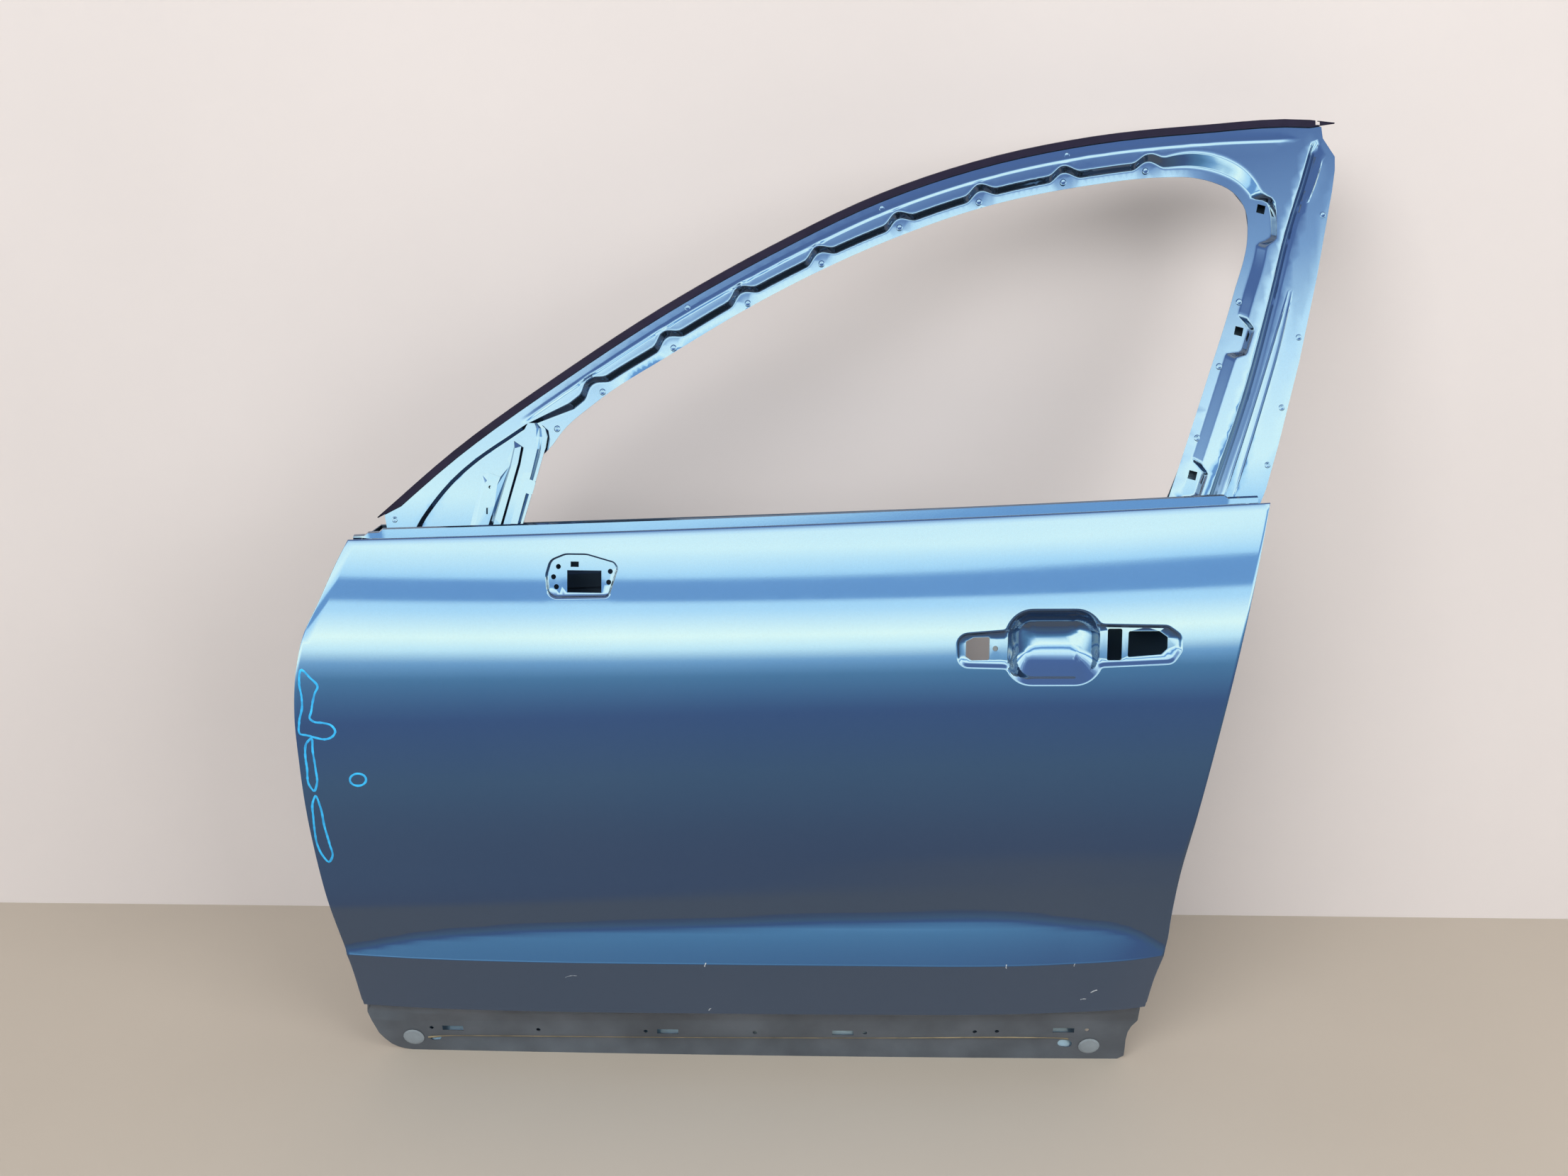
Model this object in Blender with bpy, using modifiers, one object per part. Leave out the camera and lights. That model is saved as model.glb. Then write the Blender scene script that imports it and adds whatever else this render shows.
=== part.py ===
"""Front left car door shell of pressed and painted steel, stripped of glass, lock, handle and trim.

+X runs to the rear of the car, +Y into the car and +Z up. All sizes are in metres.
The sheets are modelled by the face that looks out of the car, and their thickness grows inwards.
"""
import math
from bisect import bisect_right

import bmesh
import bpy
import numpy as np
from mathutils import Matrix, Vector
from mathutils.geometry import delaunay_2d_cdt

# Sheet metal
SHEET = 0.0010
PLATE = 0.0025
GAP = 0.0003
LAP = SHEET + GAP

# Belt line and lower edge of the skin
BELT_LINE = [(-0.550, 0.712), (0.5535, 0.7595)]
SKIN_BOTTOM = [(-0.580, 0.078), (-0.304, 0.086), (-0.030, 0.092), (0.444, 0.0965)]
CREASE_LINE = [(-0.589, 0.165), (-0.390, 0.170), (-0.030, 0.177), (0.355, 0.180), (0.458, 0.183)]
FLARE_HEIGHT = [(-0.589, 0.010), (-0.481, 0.036), (-0.407, 0.045), (-0.123, 0.060), (0.060, 0.068),
                (0.326, 0.062), (0.430, 0.034), (0.458, 0.012)]

# Front and rear edges of the skin, as x at a height
FRONT_EDGE = [(0.078, -0.580), (0.165, -0.589), (0.190, -0.594), (0.247, -0.605), (0.340, -0.616),
              (0.440, -0.6215), (0.505, -0.6225), (0.560, -0.6165), (0.600, -0.606), (0.640, -0.586),
              (0.690, -0.562), (0.712, -0.550)]
REAR_EDGE = [(0.0965, 0.444), (0.148, 0.4505), (0.183, 0.458), (0.204, 0.461), (0.233, 0.4620),
             (0.294, 0.4675), (0.380, 0.482), (0.490, 0.5015), (0.600, 0.5225), (0.695, 0.541),
             (0.7595, 0.5535)]

# Section through the middle of the skin, as y at a height, without the flare over the crease
SKIN_SECTION = [(0.060, -0.030), (0.100, -0.0355), (0.165, -0.0445), (0.235, -0.0527), (0.300, -0.0565),
                (0.400, -0.060), (0.450, -0.0587), (0.500, -0.0554), (0.550, -0.050), (0.600, -0.0418),
                (0.650, -0.0305), (0.700, -0.0160), (0.770, 0.0080)]
FLARE_SLOPE = 0.50
UNDER_CREASE_SLOPE = 0.24
SKIN_CROWN = 0.018
FRAME_CROWN = 0.014
SILL_CROWN = 0.006
CROWN_REACH = 0.62

# Window frame: its lean from its base up, and its depth between the outer and inner pressing
FRAME_BASE = 0.700
FRAME_FOOT = 0.022
FRAME_LEAN = 0.268
FRAME_CURL = 0.287
FRAME_DEPTH = 0.030
CHANNEL_DEPTH = 0.009
HEADER_EDGE = [(-0.5224, 0.7306), (-0.4288, 0.8086), (-0.2995, 0.8980), (-0.1709, 0.9782),
               (-0.0420, 1.0469), (0.0877, 1.1058), (0.2184, 1.1470), (0.3498, 1.1726),
               (0.4818, 1.1858), (0.6310, 1.1916)]
WINDOW_TOP = [(-0.3088, 0.8148), (-0.2985, 0.8287), (-0.2556, 0.8649), (-0.1699, 0.9174),
              (-0.0414, 0.9892), (0.0877, 1.0471), (0.2176, 1.0904), (0.3482, 1.1157), (0.4356, 1.1247)]
WINDOW_CORNER = [(0.4791, 1.1239), (0.5033, 1.1181), (0.5222, 1.1091), (0.5339, 1.0968),
                 (0.5395, 1.0845), (0.5404, 1.0600)]
WINDOW_REAR = [(0.5201, 0.9870), (0.4867, 0.8901), (0.4415, 0.7577)]
WINDOW_FRONT = [(-0.3600, 0.690), (-0.3471, 0.7255), (-0.3333, 0.7653), (-0.3214, 0.8020)]
PILLAR_REAR = [(0.5565, 0.7679), (0.5708, 0.8168), (0.5973, 0.9140), (0.6213, 1.0111),
               (0.6438, 1.1089), (0.6487, 1.1336), (0.6496, 1.1493)]
PILLAR_CHAMFER = [(0.6359, 1.1708), (0.6350, 1.1840)]
SAIL_FRONT = [(-0.5136, 0.7316), (-0.5110, 0.7175), (-0.5060, 0.690)]
SAIL_CURVE = [(-0.478, 0.690), (-0.4697, 0.7181), (-0.4540, 0.7415), (-0.4260, 0.7733),
              (-0.3904, 0.8020), (-0.3665, 0.8175), (-0.3380, 0.8360)]
PILLAR_GROOVE = [(0.6210, 1.1400), (0.6066, 1.1000),(0.5703, 0.9893), (0.5366, 0.8843),
                 (0.4955, 0.7641), (0.4750, 0.700)]
PILLAR_FOOT_LOW = 0.640
SAIL_WEB_ROWS = [0.705, 0.725, 0.745, 0.765, 0.785, 0.805]
SAIL_WEB_COLUMNS = [-0.455, -0.435, -0.415, -0.395, -0.375, -0.355]
RETAINER_WIDTH = 0.0085
FRAME_EDGE_INSET = 0.0025

# Scallops and pads along the channel that holds the window seal
SCALLOP_COUNT = 8
SCALLOP_FIRST_X = -0.249
SCALLOP_LAST_X = 0.421
SCALLOP_RISE = 0.0090
SCALLOP_REACH = 0.018
FLANGE_WIDTH = 0.0095
FLANGE_RISE = 0.0060
HEADER_FLANGE = 0.0095
HEADER_WALL = 0.0080
PILLAR_FLANGE = 0.0110
PILLAR_WALL = 0.0120
CORNER_WALL = 0.0240
PAD_HEIGHTS = [1.0878, 0.9474, 0.7821]
PAD_RISE = 0.0170
PAD_WALL_RISE = 0.0110
PAD_REACH = 0.024
PAD_HOLE = 0.0100
BEAD_OFFSET = 0.0205
BEAD_HALF = 0.0025
BEAD_RISE = 0.0018
GROOVE_HALF = 0.0055
GROOVE_DEPTH = 0.0050
GROOVE_FADE = 0.045

# Hems round the skin
HEM_PLAY = 0.0003
HEM_DEPTH = LAP + LAP + SHEET + 2 * HEM_PLAY
HEM_LEAF = 0.010
HEM_RELIEF = 0.052
EDGE_STRIP = 0.0160
BOTTOM_LAP = 0.012

# Door handle recess, from its centre
HANDLE_CENTRE = (0.2970, 0.5955)
CUP_WIDTH = 0.1150
CUP_HEIGHT = 0.0875
CUP_RADIUS = 0.030
RECESS_WALL = 0.0030
HANDLE_RECESS_DEPTH = 0.0035
BOWL_STEPS = [(0.0042, 0.0040), (0.0085, 0.0130), (0.0150, 0.0210), (0.0250, 0.0260)]
BOWL_BOTTOM = 0.0275
LEFT_WING = [(-0.0300, 0.0215), (-0.1155, 0.0150), (-0.1135, -0.0220), (-0.0300, -0.0242)]
RIGHT_WING = [(0.0300, -0.0237), (0.1400, -0.0187), (0.1510, -0.0060), (0.1510, 0.0130), (0.1350, 0.0243),
              (0.0300, 0.0268)]
WING_RADIUS = 0.0110
LIP_SPACING = 0.0080
LEFT_HOLE = [(-0.1048, -0.0117), (-0.0978, -0.0162), (-0.0766, -0.0157), (-0.0766, 0.0114),
             (-0.0957, 0.0109), (-0.1048, 0.0063)]
ROUND_HOLE = (-0.0696, -0.0022)
ROUND_HOLE_RADIUS = 0.0032
MIDDLE_HOLE = [(0.0640, -0.0165), (0.0814, -0.0165), (0.0814, 0.0210), (0.0640, 0.0210)]
RIGHT_HOLE = [(0.0885, -0.0127), (0.1288, -0.0097), (0.1360, -0.0027), (0.1358, 0.0108),
              (0.1257, 0.0180), (0.0890, 0.0180)]

# Mirror bracket recess
MIRROR_OUTLINE = [(-0.3065, 0.6490), (-0.2340, 0.6510), (-0.2225, 0.6850), (-0.2270, 0.6915),
                  (-0.2600, 0.7003), (-0.2860, 0.7003), (-0.3040, 0.6930), (-0.3092, 0.6760)]
MIRROR_RADII = [0.012, 0.007, 0.006, 0.008, 0.030, 0.020, 0.012, 0.016]
MIRROR_DEPTH = 0.0040
MIRROR_WALL = 0.0018
MIRROR_SLOT = (-0.2633, 0.6678, 0.0412, 0.0256)
MIRROR_SQUARE = (-0.2749, 0.6875, 0.0098, 0.0062)
MIRROR_HOLES = [(-0.2945, 0.6846), (-0.3003, 0.6728), (-0.2968, 0.6614), (-0.2321, 0.6798),
                (-0.2340, 0.6674)]
MIRROR_HOLE_RADIUS = 0.0030
MIRROR_PLATE_MARGIN = 0.006

# Sill strip under the skin
SILL_FRONT = [(-0.524, 0.0), (-0.535, 0.002), (-0.543, 0.005), (-0.551, 0.010), (-0.559, 0.020),
              (-0.5655, 0.030), (-0.569, 0.040), (-0.573, 0.050), (-0.5775, 0.064)]
SILL_REAR = [(0.418, 0.0), (0.4262, 0.006), (0.4260, 0.020), (0.4254, 0.036), (0.4266, 0.050),
             (0.4300, 0.060), (0.4370, 0.071)]
SILL_SLOPE = 0.26
STEP_TOP = [(-0.470, 0.0285), (0.330, 0.0390)]
STEP_HEIGHT = 0.0045
STEP_DEPTH = 0.0045
STEP_FADE = 0.030
SILL_SHOULDER = 0.026
SILL_SHELF = 0.012
SILL_SHELF_DEPTH = 0.0060
SILL_HOLE_LINE = [(-0.500, 0.0415), (-0.200, 0.0420), (0.070, 0.0440), (0.250, 0.0490), (0.375, 0.0530)]
SILL_SMALL_HOLES = [-0.4931, -0.3505, -0.2077, -0.0632, 0.0818, 0.2262, 0.2550, 0.3728]
SILL_SLOTS = [-0.4648, -0.1786, 0.0528, 0.3423]
SILL_SLOT_SIZE = (0.0280, 0.0085)
SILL_SMALL_RADIUS = 0.0028
SILL_OVALS = {(-0.4904, 0.0225): (0.0147, 0.0096), (0.3464, 0.0265): (0.0185, 0.0125)}
PLUG_PLACES = {"drain_plug_front": (-0.5190, 0.0245), "drain_plug_rear": (0.3780, 0.0245)}
PLUG_HOLE_RADIUS = 0.0095
PLUG_RADIUS = 0.0140
PLUG_THICKNESS = 0.0012
DRAIN_RADIUS = PLUG_HOLE_RADIUS + 0.0020
DRAIN_REACH = 0.040

# Inner panel
INNER_SECTION = [(0.090, 0.060), (0.160, 0.070), (0.300, 0.0760), (0.460, 0.0770), (0.600, 0.0743),
                 (0.650, 0.0705), (0.700, 0.0660), (0.780, 0.0588)]
BELT_MIDDLE = 0.735
INNER_CROWN = 0.010
INNER_EDGE_INSET = 0.0018
HEM_FLANGE = 0.0145
WALL_RUN = 0.0070
TRAY_BOTTOM = 0.0140
SILL_SEALER = 0.0012
TRAY_FLOOR = 0.1100
TRAY_CORNER = 0.066
INNER_TOP_DROP = 0.0035
HINGE_WALL = [(0.082, -0.5655), (0.165, -0.5745), (0.240, -0.5890), (0.345, -0.6020), (0.570, -0.6020),
              (0.600, -0.5915), (0.640, -0.5710), (0.712, -0.5340)]
RIM_OUTWARDS = [(0.060, 0.0015), (0.090, -0.0050), (0.106, -0.0180), (0.126, -0.0600)]
RIM_HEM_START = 0.128
MODULE_OPENING = [(-0.190, 0.205), (0.325, 0.225), (0.372, 0.480), (0.300, 0.600), (-0.395, 0.580),
                  (-0.470, 0.430), (-0.300, 0.395)]
MODULE_RADII = [0.050, 0.060, 0.070, 0.080, 0.080, 0.045, 0.050]
RIM_STEP = 0.0030
RIM_WIDTH = 0.014
SPEAKER_CENTRE = (-0.385, 0.262)
SPEAKER_RADIUS = 0.080
TRIM_HOLE_RADIUS = 0.0045
TRIM_HOLES = [(-0.520, 0.160), (-0.250, 0.150), (0.020, 0.155), (0.280, 0.165), (0.415, 0.250),
              (0.430, 0.420), (0.455, 0.600), (-0.555, 0.380), (-0.540, 0.560)]
BELT_EMBOSS = [(-0.330, 0.640), (0.330, 0.668)]
EMBOSS_HALF = 0.013
EMBOSS_WALL = 0.004
EMBOSS_DEPTH = 0.005

# Hinges, check strap and lock
HINGE_HEIGHTS = {"upper": 0.520, "lower": 0.292}
HINGE_Y = 0.012
HINGE_SEAT = (0.056, 0.088)
HINGE_SEAT_RISE = 0.0022
HINGE_BOLT_SPACING = 0.056
HINGE_BOLT_RADIUS = 0.0052
HINGE_PLATE = 0.0030
NUT_RADIUS = 0.0080
NUT_THICKNESS = 0.0065
CHECK_UNDER_MIDDLE = 0.0020
CHECK_HEIGHT = (HINGE_HEIGHTS["upper"] + HINGE_HEIGHTS["lower"]) / 2 - CHECK_UNDER_MIDDLE
CHECK_Y = 0.036
CHECK_SLOT = (0.012, 0.030)
CHECK_PLATE = (0.034, 0.064)
GROMMET_HEIGHT = 0.628
GROMMET_Y = 0.018
GROMMET_RADIUS = 0.014
LATCH_HEIGHT = 0.545
LATCH_Y = 0.016
LATCH_SLOT = (0.030, 0.044)
LATCH_PLATE = (0.066, 0.092)
LATCH_SCREW_RADIUS = 0.0036
LATCH_SCREWS = [(0.022, 0.030), (0.022, -0.030), (-0.024, 0.000)]

# Impact beam
BEAM_RADIUS = 0.0160
BEAM_WALL = 0.0022
BEAM_FRONT_Z = 0.404
BEAM_REAR_Z = 0.262
BEAM_SKIN_GAP = 0.0080
BEAM_BRACKET_LENGTH = 0.060
BEAM_BRACKET_FLANGE = 0.016
BEAM_END_GAP = 0.020
BRACKET_GAP = 0.0008
BRACKET_SIDES = 12
MASTIC_RADIUS = 0.014
MASTIC_GAP = 0.0012
MASTIC_FRACTIONS = {"front": 0.22, "middle": 0.50, "rear": 0.78}

# Belt reinforcements, window channels and the bracket in the sail
BELT_STRIP_START = -0.515
BELT_STRIP_RISE = 0.0075
BELT_STRIP_DROP = 0.020
BELT_STRIP_GAP = 0.0050
BELT_STRIP_LIP = 0.0060
CHANNEL_EDGES = [(0.8420, -0.3375, -0.3235), (0.8360, -0.3410, -0.3165), (0.8260, -0.3440, -0.3142),
                 (0.8120, -0.3380, -0.3165), (0.7850, -0.3430, -0.3245), (0.7250, -0.3580, -0.3430),
                 (0.6500, -0.3790, -0.3650), (0.5400, -0.4050, -0.3910)]
CHANNEL_HEAD_ROWS = 2
CHANNEL_OUT = 0.0016
CHANNEL_LEG = CHANNEL_DEPTH - 0.0018
CHANNEL_GROOVE = [(0.56, 0.0), (0.68, 0.0020), (0.80, 0.0002)]
CLIP_CENTRE = (-0.3360, 0.7690)
CLIP_SIZE = (0.0140, 0.0165)
DAMPING_CENTRE = (-0.050, 0.478)
DAMPING_SIZE = (0.300, 0.110)
DAMPING_THICKNESS = 0.0018

# Fineness of the pressed sheets
COLUMNS = 17
ROWS_UNDER_CREASE = 3
ROW_FRACTIONS = [0.03, 0.065, 0.10, 0.14, 0.19, 0.25, 0.32, 0.40, 0.48, 0.56, 0.63, 0.70, 0.77, 0.84,
                 0.90, 0.95]
CORNER_STEPS = 3
MERGE = 0.00005

# Colours: base colour, roughness, metallic
BLUE_PAINT = ((0.085, 0.170, 0.290), 0.22, 0.55)
INNER_BLUE = ((0.080, 0.150, 0.240), 0.38, 0.45)
SILL_BLUE = ((0.120, 0.145, 0.170), 0.50, 0.30)
DARK_STRIP = ((0.022, 0.020, 0.040), 0.55, 0.00)
PRIMER_GREY = ((0.180, 0.200, 0.220), 0.60, 0.20)
STEEL = ((0.420, 0.430, 0.440), 0.42, 0.90)
PALE_PLUG = ((0.420, 0.450, 0.470), 0.60, 0.00)
MASTIC = ((0.060, 0.060, 0.065), 0.90, 0.00)


class Stations:
    """A smooth curve through stations of (key, value)."""

    def __init__(self, stations):
        self.keys = [key for key, _ in stations]
        self.values = [value for _, value in stations]
        spans = [b - a for a, b in zip(self.keys, self.keys[1:])]
        rises = [b - a for a, b in zip(self.values, self.values[1:])]
        slopes = [rise / span for rise, span in zip(rises, spans)]
        inner = [(slopes[i] * spans[i + 1] + slopes[i + 1] * spans[i]) / (spans[i] + spans[i + 1])
                 for i in range(len(slopes) - 1)]
        self.slopes = [slopes[0]] + inner + [slopes[-1]]

    def __call__(self, key):
        if key <= self.keys[0]:
            return self.values[0] + (key - self.keys[0]) * self.slopes[0]
        if key >= self.keys[-1]:
            return self.values[-1] + (key - self.keys[-1]) * self.slopes[-1]
        i = bisect_right(self.keys, key) - 1
        span = self.keys[i + 1] - self.keys[i]
        t = (key - self.keys[i]) / span
        low = (1 + 2 * t) * (1 - t) ** 2 * self.values[i] + t * (1 - t) ** 2 * span * self.slopes[i]
        high = t * t * (3 - 2 * t) * self.values[i + 1] + t * t * (t - 1) * span * self.slopes[i + 1]
        return low + high


belt_height = Stations(BELT_LINE)
bottom_height = Stations(SKIN_BOTTOM)
crease_height = Stations(CREASE_LINE)
flare_height = Stations(FLARE_HEIGHT)
front_edge = Stations(FRONT_EDGE)
rear_edge = Stations(REAR_EDGE)
skin_section = Stations(SKIN_SECTION)
inner_section = Stations(INNER_SECTION)
step_top = Stations(STEP_TOP)
sill_hole_height = Stations(SILL_HOLE_LINE)


def crown(x, rise):
    return rise * (x / CROWN_REACH) ** 2


def steepness(surface, x, z, step=0.003):
    """Distance along Y through a sheet of unit thickness at a point of a surface."""
    along_x = (surface(x + step, z) - surface(x - step, z)) / (2 * step)
    along_z = (surface(x, z + step) - surface(x, z - step)) / (2 * step)
    return math.sqrt(1 + along_x ** 2 + along_z ** 2)


def skin_surface(x, z):
    """Y of the skin's outer face."""
    over = z - crease_height(x)
    reach = flare_height(min(max(x, FLARE_HEIGHT[0][0]), FLARE_HEIGHT[-1][0]))
    if over < 0:
        z_crease = crease_height(x)
        at_crease = skin_section(z_crease) - FLARE_SLOPE * reach / 2
        return at_crease - UNDER_CREASE_SLOPE * over + crown(x, SKIN_CROWN)
    flare = FLARE_SLOPE * reach / 2 * max(0.0, 1 - over / reach) ** 2
    return skin_section(z) - flare + crown(x, SKIN_CROWN)


def frame_surface(x, z):
    """Y of the window frame's outer face, without its channel and beads."""
    rise = z - FRAME_BASE
    return FRAME_FOOT + FRAME_LEAN * rise + FRAME_CURL * rise * rise + crown(x, FRAME_CROWN)


def inner_surface(x, z):
    """Y of the inner panel's plane, on its cavity side."""
    return inner_section(z - belt_height(x) + BELT_MIDDLE) + crown(x, INNER_CROWN)


def sill_knots(x):
    """Heights and Y places of the sill strip's section at x, from its lower edge up."""
    bottom = bottom_height(x)
    top = step_top(x)
    ends = min(max((x - STEP_TOP[0][0]) / STEP_FADE + 1, 0), max((STEP_TOP[1][0] - x) / STEP_FADE + 1, 0), 1)
    slope = [0.0, top - STEP_HEIGHT, top, bottom - SILL_SHOULDER]
    depths = [0.0, STEP_DEPTH * ends, 0.0, 0.0]
    places = [-SILL_SLOPE * z + depth + crown(x, SILL_CROWN) for z, depth in zip(slope, depths)]
    skin = skin_surface(x, bottom) + LAP * steepness(skin_surface, x, bottom - 0.010)
    heights = slope + [bottom - SILL_SHELF, bottom - 0.0030, bottom + 0.0005]
    places[-1] = max(places[-1], skin + 0.0060)
    places += [max(places[-1] - SILL_SHELF_DEPTH, skin + 0.0050), skin + 0.0040, skin]
    return heights, places


def sill_surface(x, z):
    """Y of the sill strip's outer face."""
    if z > bottom_height(x) + 0.0005:
        return skin_surface(x, z) + LAP * steepness(skin_surface, x, z)
    heights, places = sill_knots(x)
    return float(np.interp(z, heights, places))


def flange_surface(x, z):
    """Y of the inner panel's rim: in the skin's hem above, on the sill strip below."""
    in_hem = skin_surface(x, z) + (LAP + HEM_PLAY) * steepness(skin_surface, x, z)
    if z > RIM_HEM_START:
        return in_hem
    if z <= TRAY_BOTTOM:
        return sill_surface(x, z) + LAP * steepness(sill_surface, x, z) + SILL_SEALER
    heights = [TRAY_BOTTOM] + [height for height, _ in RIM_OUTWARDS]
    places = [-SILL_SLOPE * TRAY_BOTTOM + LAP + SILL_SEALER] + [place for _, place in RIM_OUTWARDS]
    return max(in_hem, float(np.interp(z, heights, places)) + crown(x, SILL_CROWN))


def hinge_wall(z):
    return float(np.interp(z, [height for height, _ in HINGE_WALL], [x for _, x in HINGE_WALL]))


def front_wall_x(y, z):
    """X of the hinge wall's cavity side."""
    start = hinge_wall(z)
    low = flange_surface(start, z)
    high = inner_surface(start + WALL_RUN, z)
    return start + WALL_RUN * (y - low) / (high - low)


def rear_wall_x(y, z):
    """X of the lock wall's cavity side."""
    start = rear_edge(z) - HEM_FLANGE
    low = flange_surface(start, z)
    high = inner_surface(start - WALL_RUN, z)
    return start - WALL_RUN * (y - low) / (high - low)


def lift(points, surface, depth=0.0):
    """Points of (x, z) as (x, y, z) on a surface, a depth under its face."""
    if not depth:
        return [(x, surface(x, z), z) for x, z in points]
    return [(x, surface(x, z) + depth * steepness(surface, x, z), z) for x, z in points]


def even(first, last, count):
    return [first + (last - first) * i / count for i in range(count + 1)]


def flowing(points, spacing):
    """A smooth line through points, with a point about every spacing."""
    lengths = [0.0]
    for a, b in zip(points, points[1:]):
        lengths.append(lengths[-1] + math.dist(a, b))
    along_x = Stations([(length, point[0]) for length, point in zip(lengths, points)])
    along_z = Stations([(length, point[1]) for length, point in zip(lengths, points)])
    count = max(2, round(lengths[-1] / spacing))
    return [(along_x(lengths[-1] * i / count), along_z(lengths[-1] * i / count)) for i in range(count + 1)]


def offset(points, distances, closed):
    """A line moved to its left side by a distance, or by one distance a point."""
    count = len(points)
    if not isinstance(distances, (list, tuple)):
        distances = [distances] * count
    moved = []
    for i, (x, z) in enumerate(points):
        before = points[i - 1] if i or closed else points[i]
        after = points[(i + 1) % count] if i < count - 1 or closed else points[i]
        first = Vector((x - before[0], z - before[1]))
        second = Vector((after[0] - x, after[1] - z))
        first = first.normalized() if first.length > MERGE else second.normalized()
        second = second.normalized() if second.length > MERGE else first
        normal = Vector((-first.y - second.y, first.x + second.x)).normalized()
        stretch = max(0.5, normal.dot(Vector((-first.y, first.x))))
        moved.append((x + normal.x * distances[i] / stretch, z + normal.y * distances[i] / stretch))
    return moved


def segment_distances(points, chains):
    """Distance from each point to the nearest of the closed or open chains."""
    places = np.array(points)
    nearest = np.full(len(points), np.inf)
    for chain, closed in chains:
        line = np.array(chain + chain[:1] if closed else chain)
        for a, b in zip(line, line[1:]):
            run = b - a
            t = np.clip(((places - a) @ run) / max(run @ run, MERGE ** 2), 0, 1)
            gaps = np.hypot(*(places - a - t[:, None] * run).T)
            nearest = np.minimum(nearest, gaps)
    return nearest


def clean_inset(loop, distance):
    """A closed loop moved inwards, without the points that an acute corner would cross."""
    moved = offset(loop, distance, True)
    gaps = segment_distances(moved, [(loop, True)])
    return [point for point, gap in zip(moved, gaps) if gap > 0.97 * distance]


def inside(point, loop):
    x, z = point
    found = False
    for (x0, z0), (x1, z1) in zip(loop, loop[1:] + loop[:1]):
        if (z0 > z) != (z1 > z) and x < x0 + (z - z0) * (x1 - x0) / (z1 - z0):
            found = not found
    return found


def rounded(corners, radii, steps=CORNER_STEPS):
    """A closed polygon with its corners rounded."""
    if not isinstance(radii, (list, tuple)):
        radii = [radii] * len(corners)
    loop = []
    for i, corner in enumerate(corners):
        here = Vector(corner)
        to_before = Vector(corners[i - 1]) - here
        to_after = Vector(corners[(i + 1) % len(corners)]) - here
        half = to_before.angle(to_after) / 2
        room = 0.48 * min(to_before.length, to_after.length)
        reach = min(radii[i] / math.tan(half), room)
        start = here + to_before.normalized() * reach
        end = here + to_after.normalized() * reach
        for step in range(steps + 1):
            t = step / steps
            loop.append(tuple(start * (1 - t) ** 2 + here * 2 * t * (1 - t) + end * t * t))
    return loop


def turned(points, centre, angle):
    """Points given from a centre, turned by an angle and placed at it."""
    c, s = math.cos(angle), math.sin(angle)
    return [(centre[0] + x * c - z * s, centre[1] + x * s + z * c) for x, z in points]


def box_loop(width, height):
    return [(-width / 2, -height / 2), (width / 2, -height / 2), (width / 2, height / 2),
            (-width / 2, height / 2)]


def circle(centre, radius, sides=10):
    return [(centre[0] + radius * math.cos(2 * math.pi * i / sides),
             centre[1] + radius * math.sin(2 * math.pi * i / sides)) for i in range(sides)]


def oval(centre, width, height, steps=4):
    return rounded(turned(box_loop(width, height), centre, 0), 0.49 * height, steps)


def start_scene():
    for item in list(bpy.data.objects):
        bpy.data.objects.remove(item, do_unlink=True)
    parts = bpy.data.collections.new("car_door_shell")
    cutters = bpy.data.collections.new("cutters")
    for collection in (parts, cutters):
        bpy.context.scene.collection.children.link(collection)
    root = bpy.data.objects.new("door_origin", None)
    parts.objects.link(root)
    return parts, cutters, root


PARTS, CUTTERS, ROOT = start_scene()


def finish(item, look):
    """Give an object its own painted or metal material."""
    colour, roughness, metallic = look
    material = bpy.data.materials.new(item.name)
    material.use_nodes = True
    shader = material.node_tree.nodes["Principled BSDF"]
    shader.inputs["Base Color"].default_value = (*colour, 1.0)
    shader.inputs["Roughness"].default_value = roughness
    shader.inputs["Metallic"].default_value = metallic
    item.data.materials.clear()
    item.data.materials.append(material)


def keep(item, look):
    """Put a part in the door's collection, under its origin."""
    for collection in list(item.users_collection):
        collection.objects.unlink(item)
    PARTS.objects.link(item)
    item.parent = ROOT
    finish(item, look)
    return item


def new_part(name, mesh, look):
    item = bpy.data.objects.new(name, mesh)
    PARTS.objects.link(item)
    item.parent = ROOT
    finish(item, look)
    return item


def thicken(item, thickness):
    sheet = item.modifiers.new("sheet", "SOLIDIFY")
    sheet.thickness = thickness
    sheet.offset = -1.0
    sheet.use_even_offset = True
    sheet.use_quality_normals = True


def mesh_from(shape, name):
    mesh = bpy.data.meshes.new(name)
    shape.to_mesh(mesh)
    shape.free()
    mesh.shade_smooth()
    mesh.set_sharp_from_angle(angle=math.radians(28))
    return mesh


def grid_points(rows, chains, clearance):
    """Those points of the rows that keep clear of the chains."""
    points = [point for row in rows for point in row]
    gaps = segment_distances(points, chains)
    return [point for point, gap in zip(points, gaps) if gap > clearance]


def flat(chain):
    return [(x, z) for x, _, z in chain]


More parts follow.
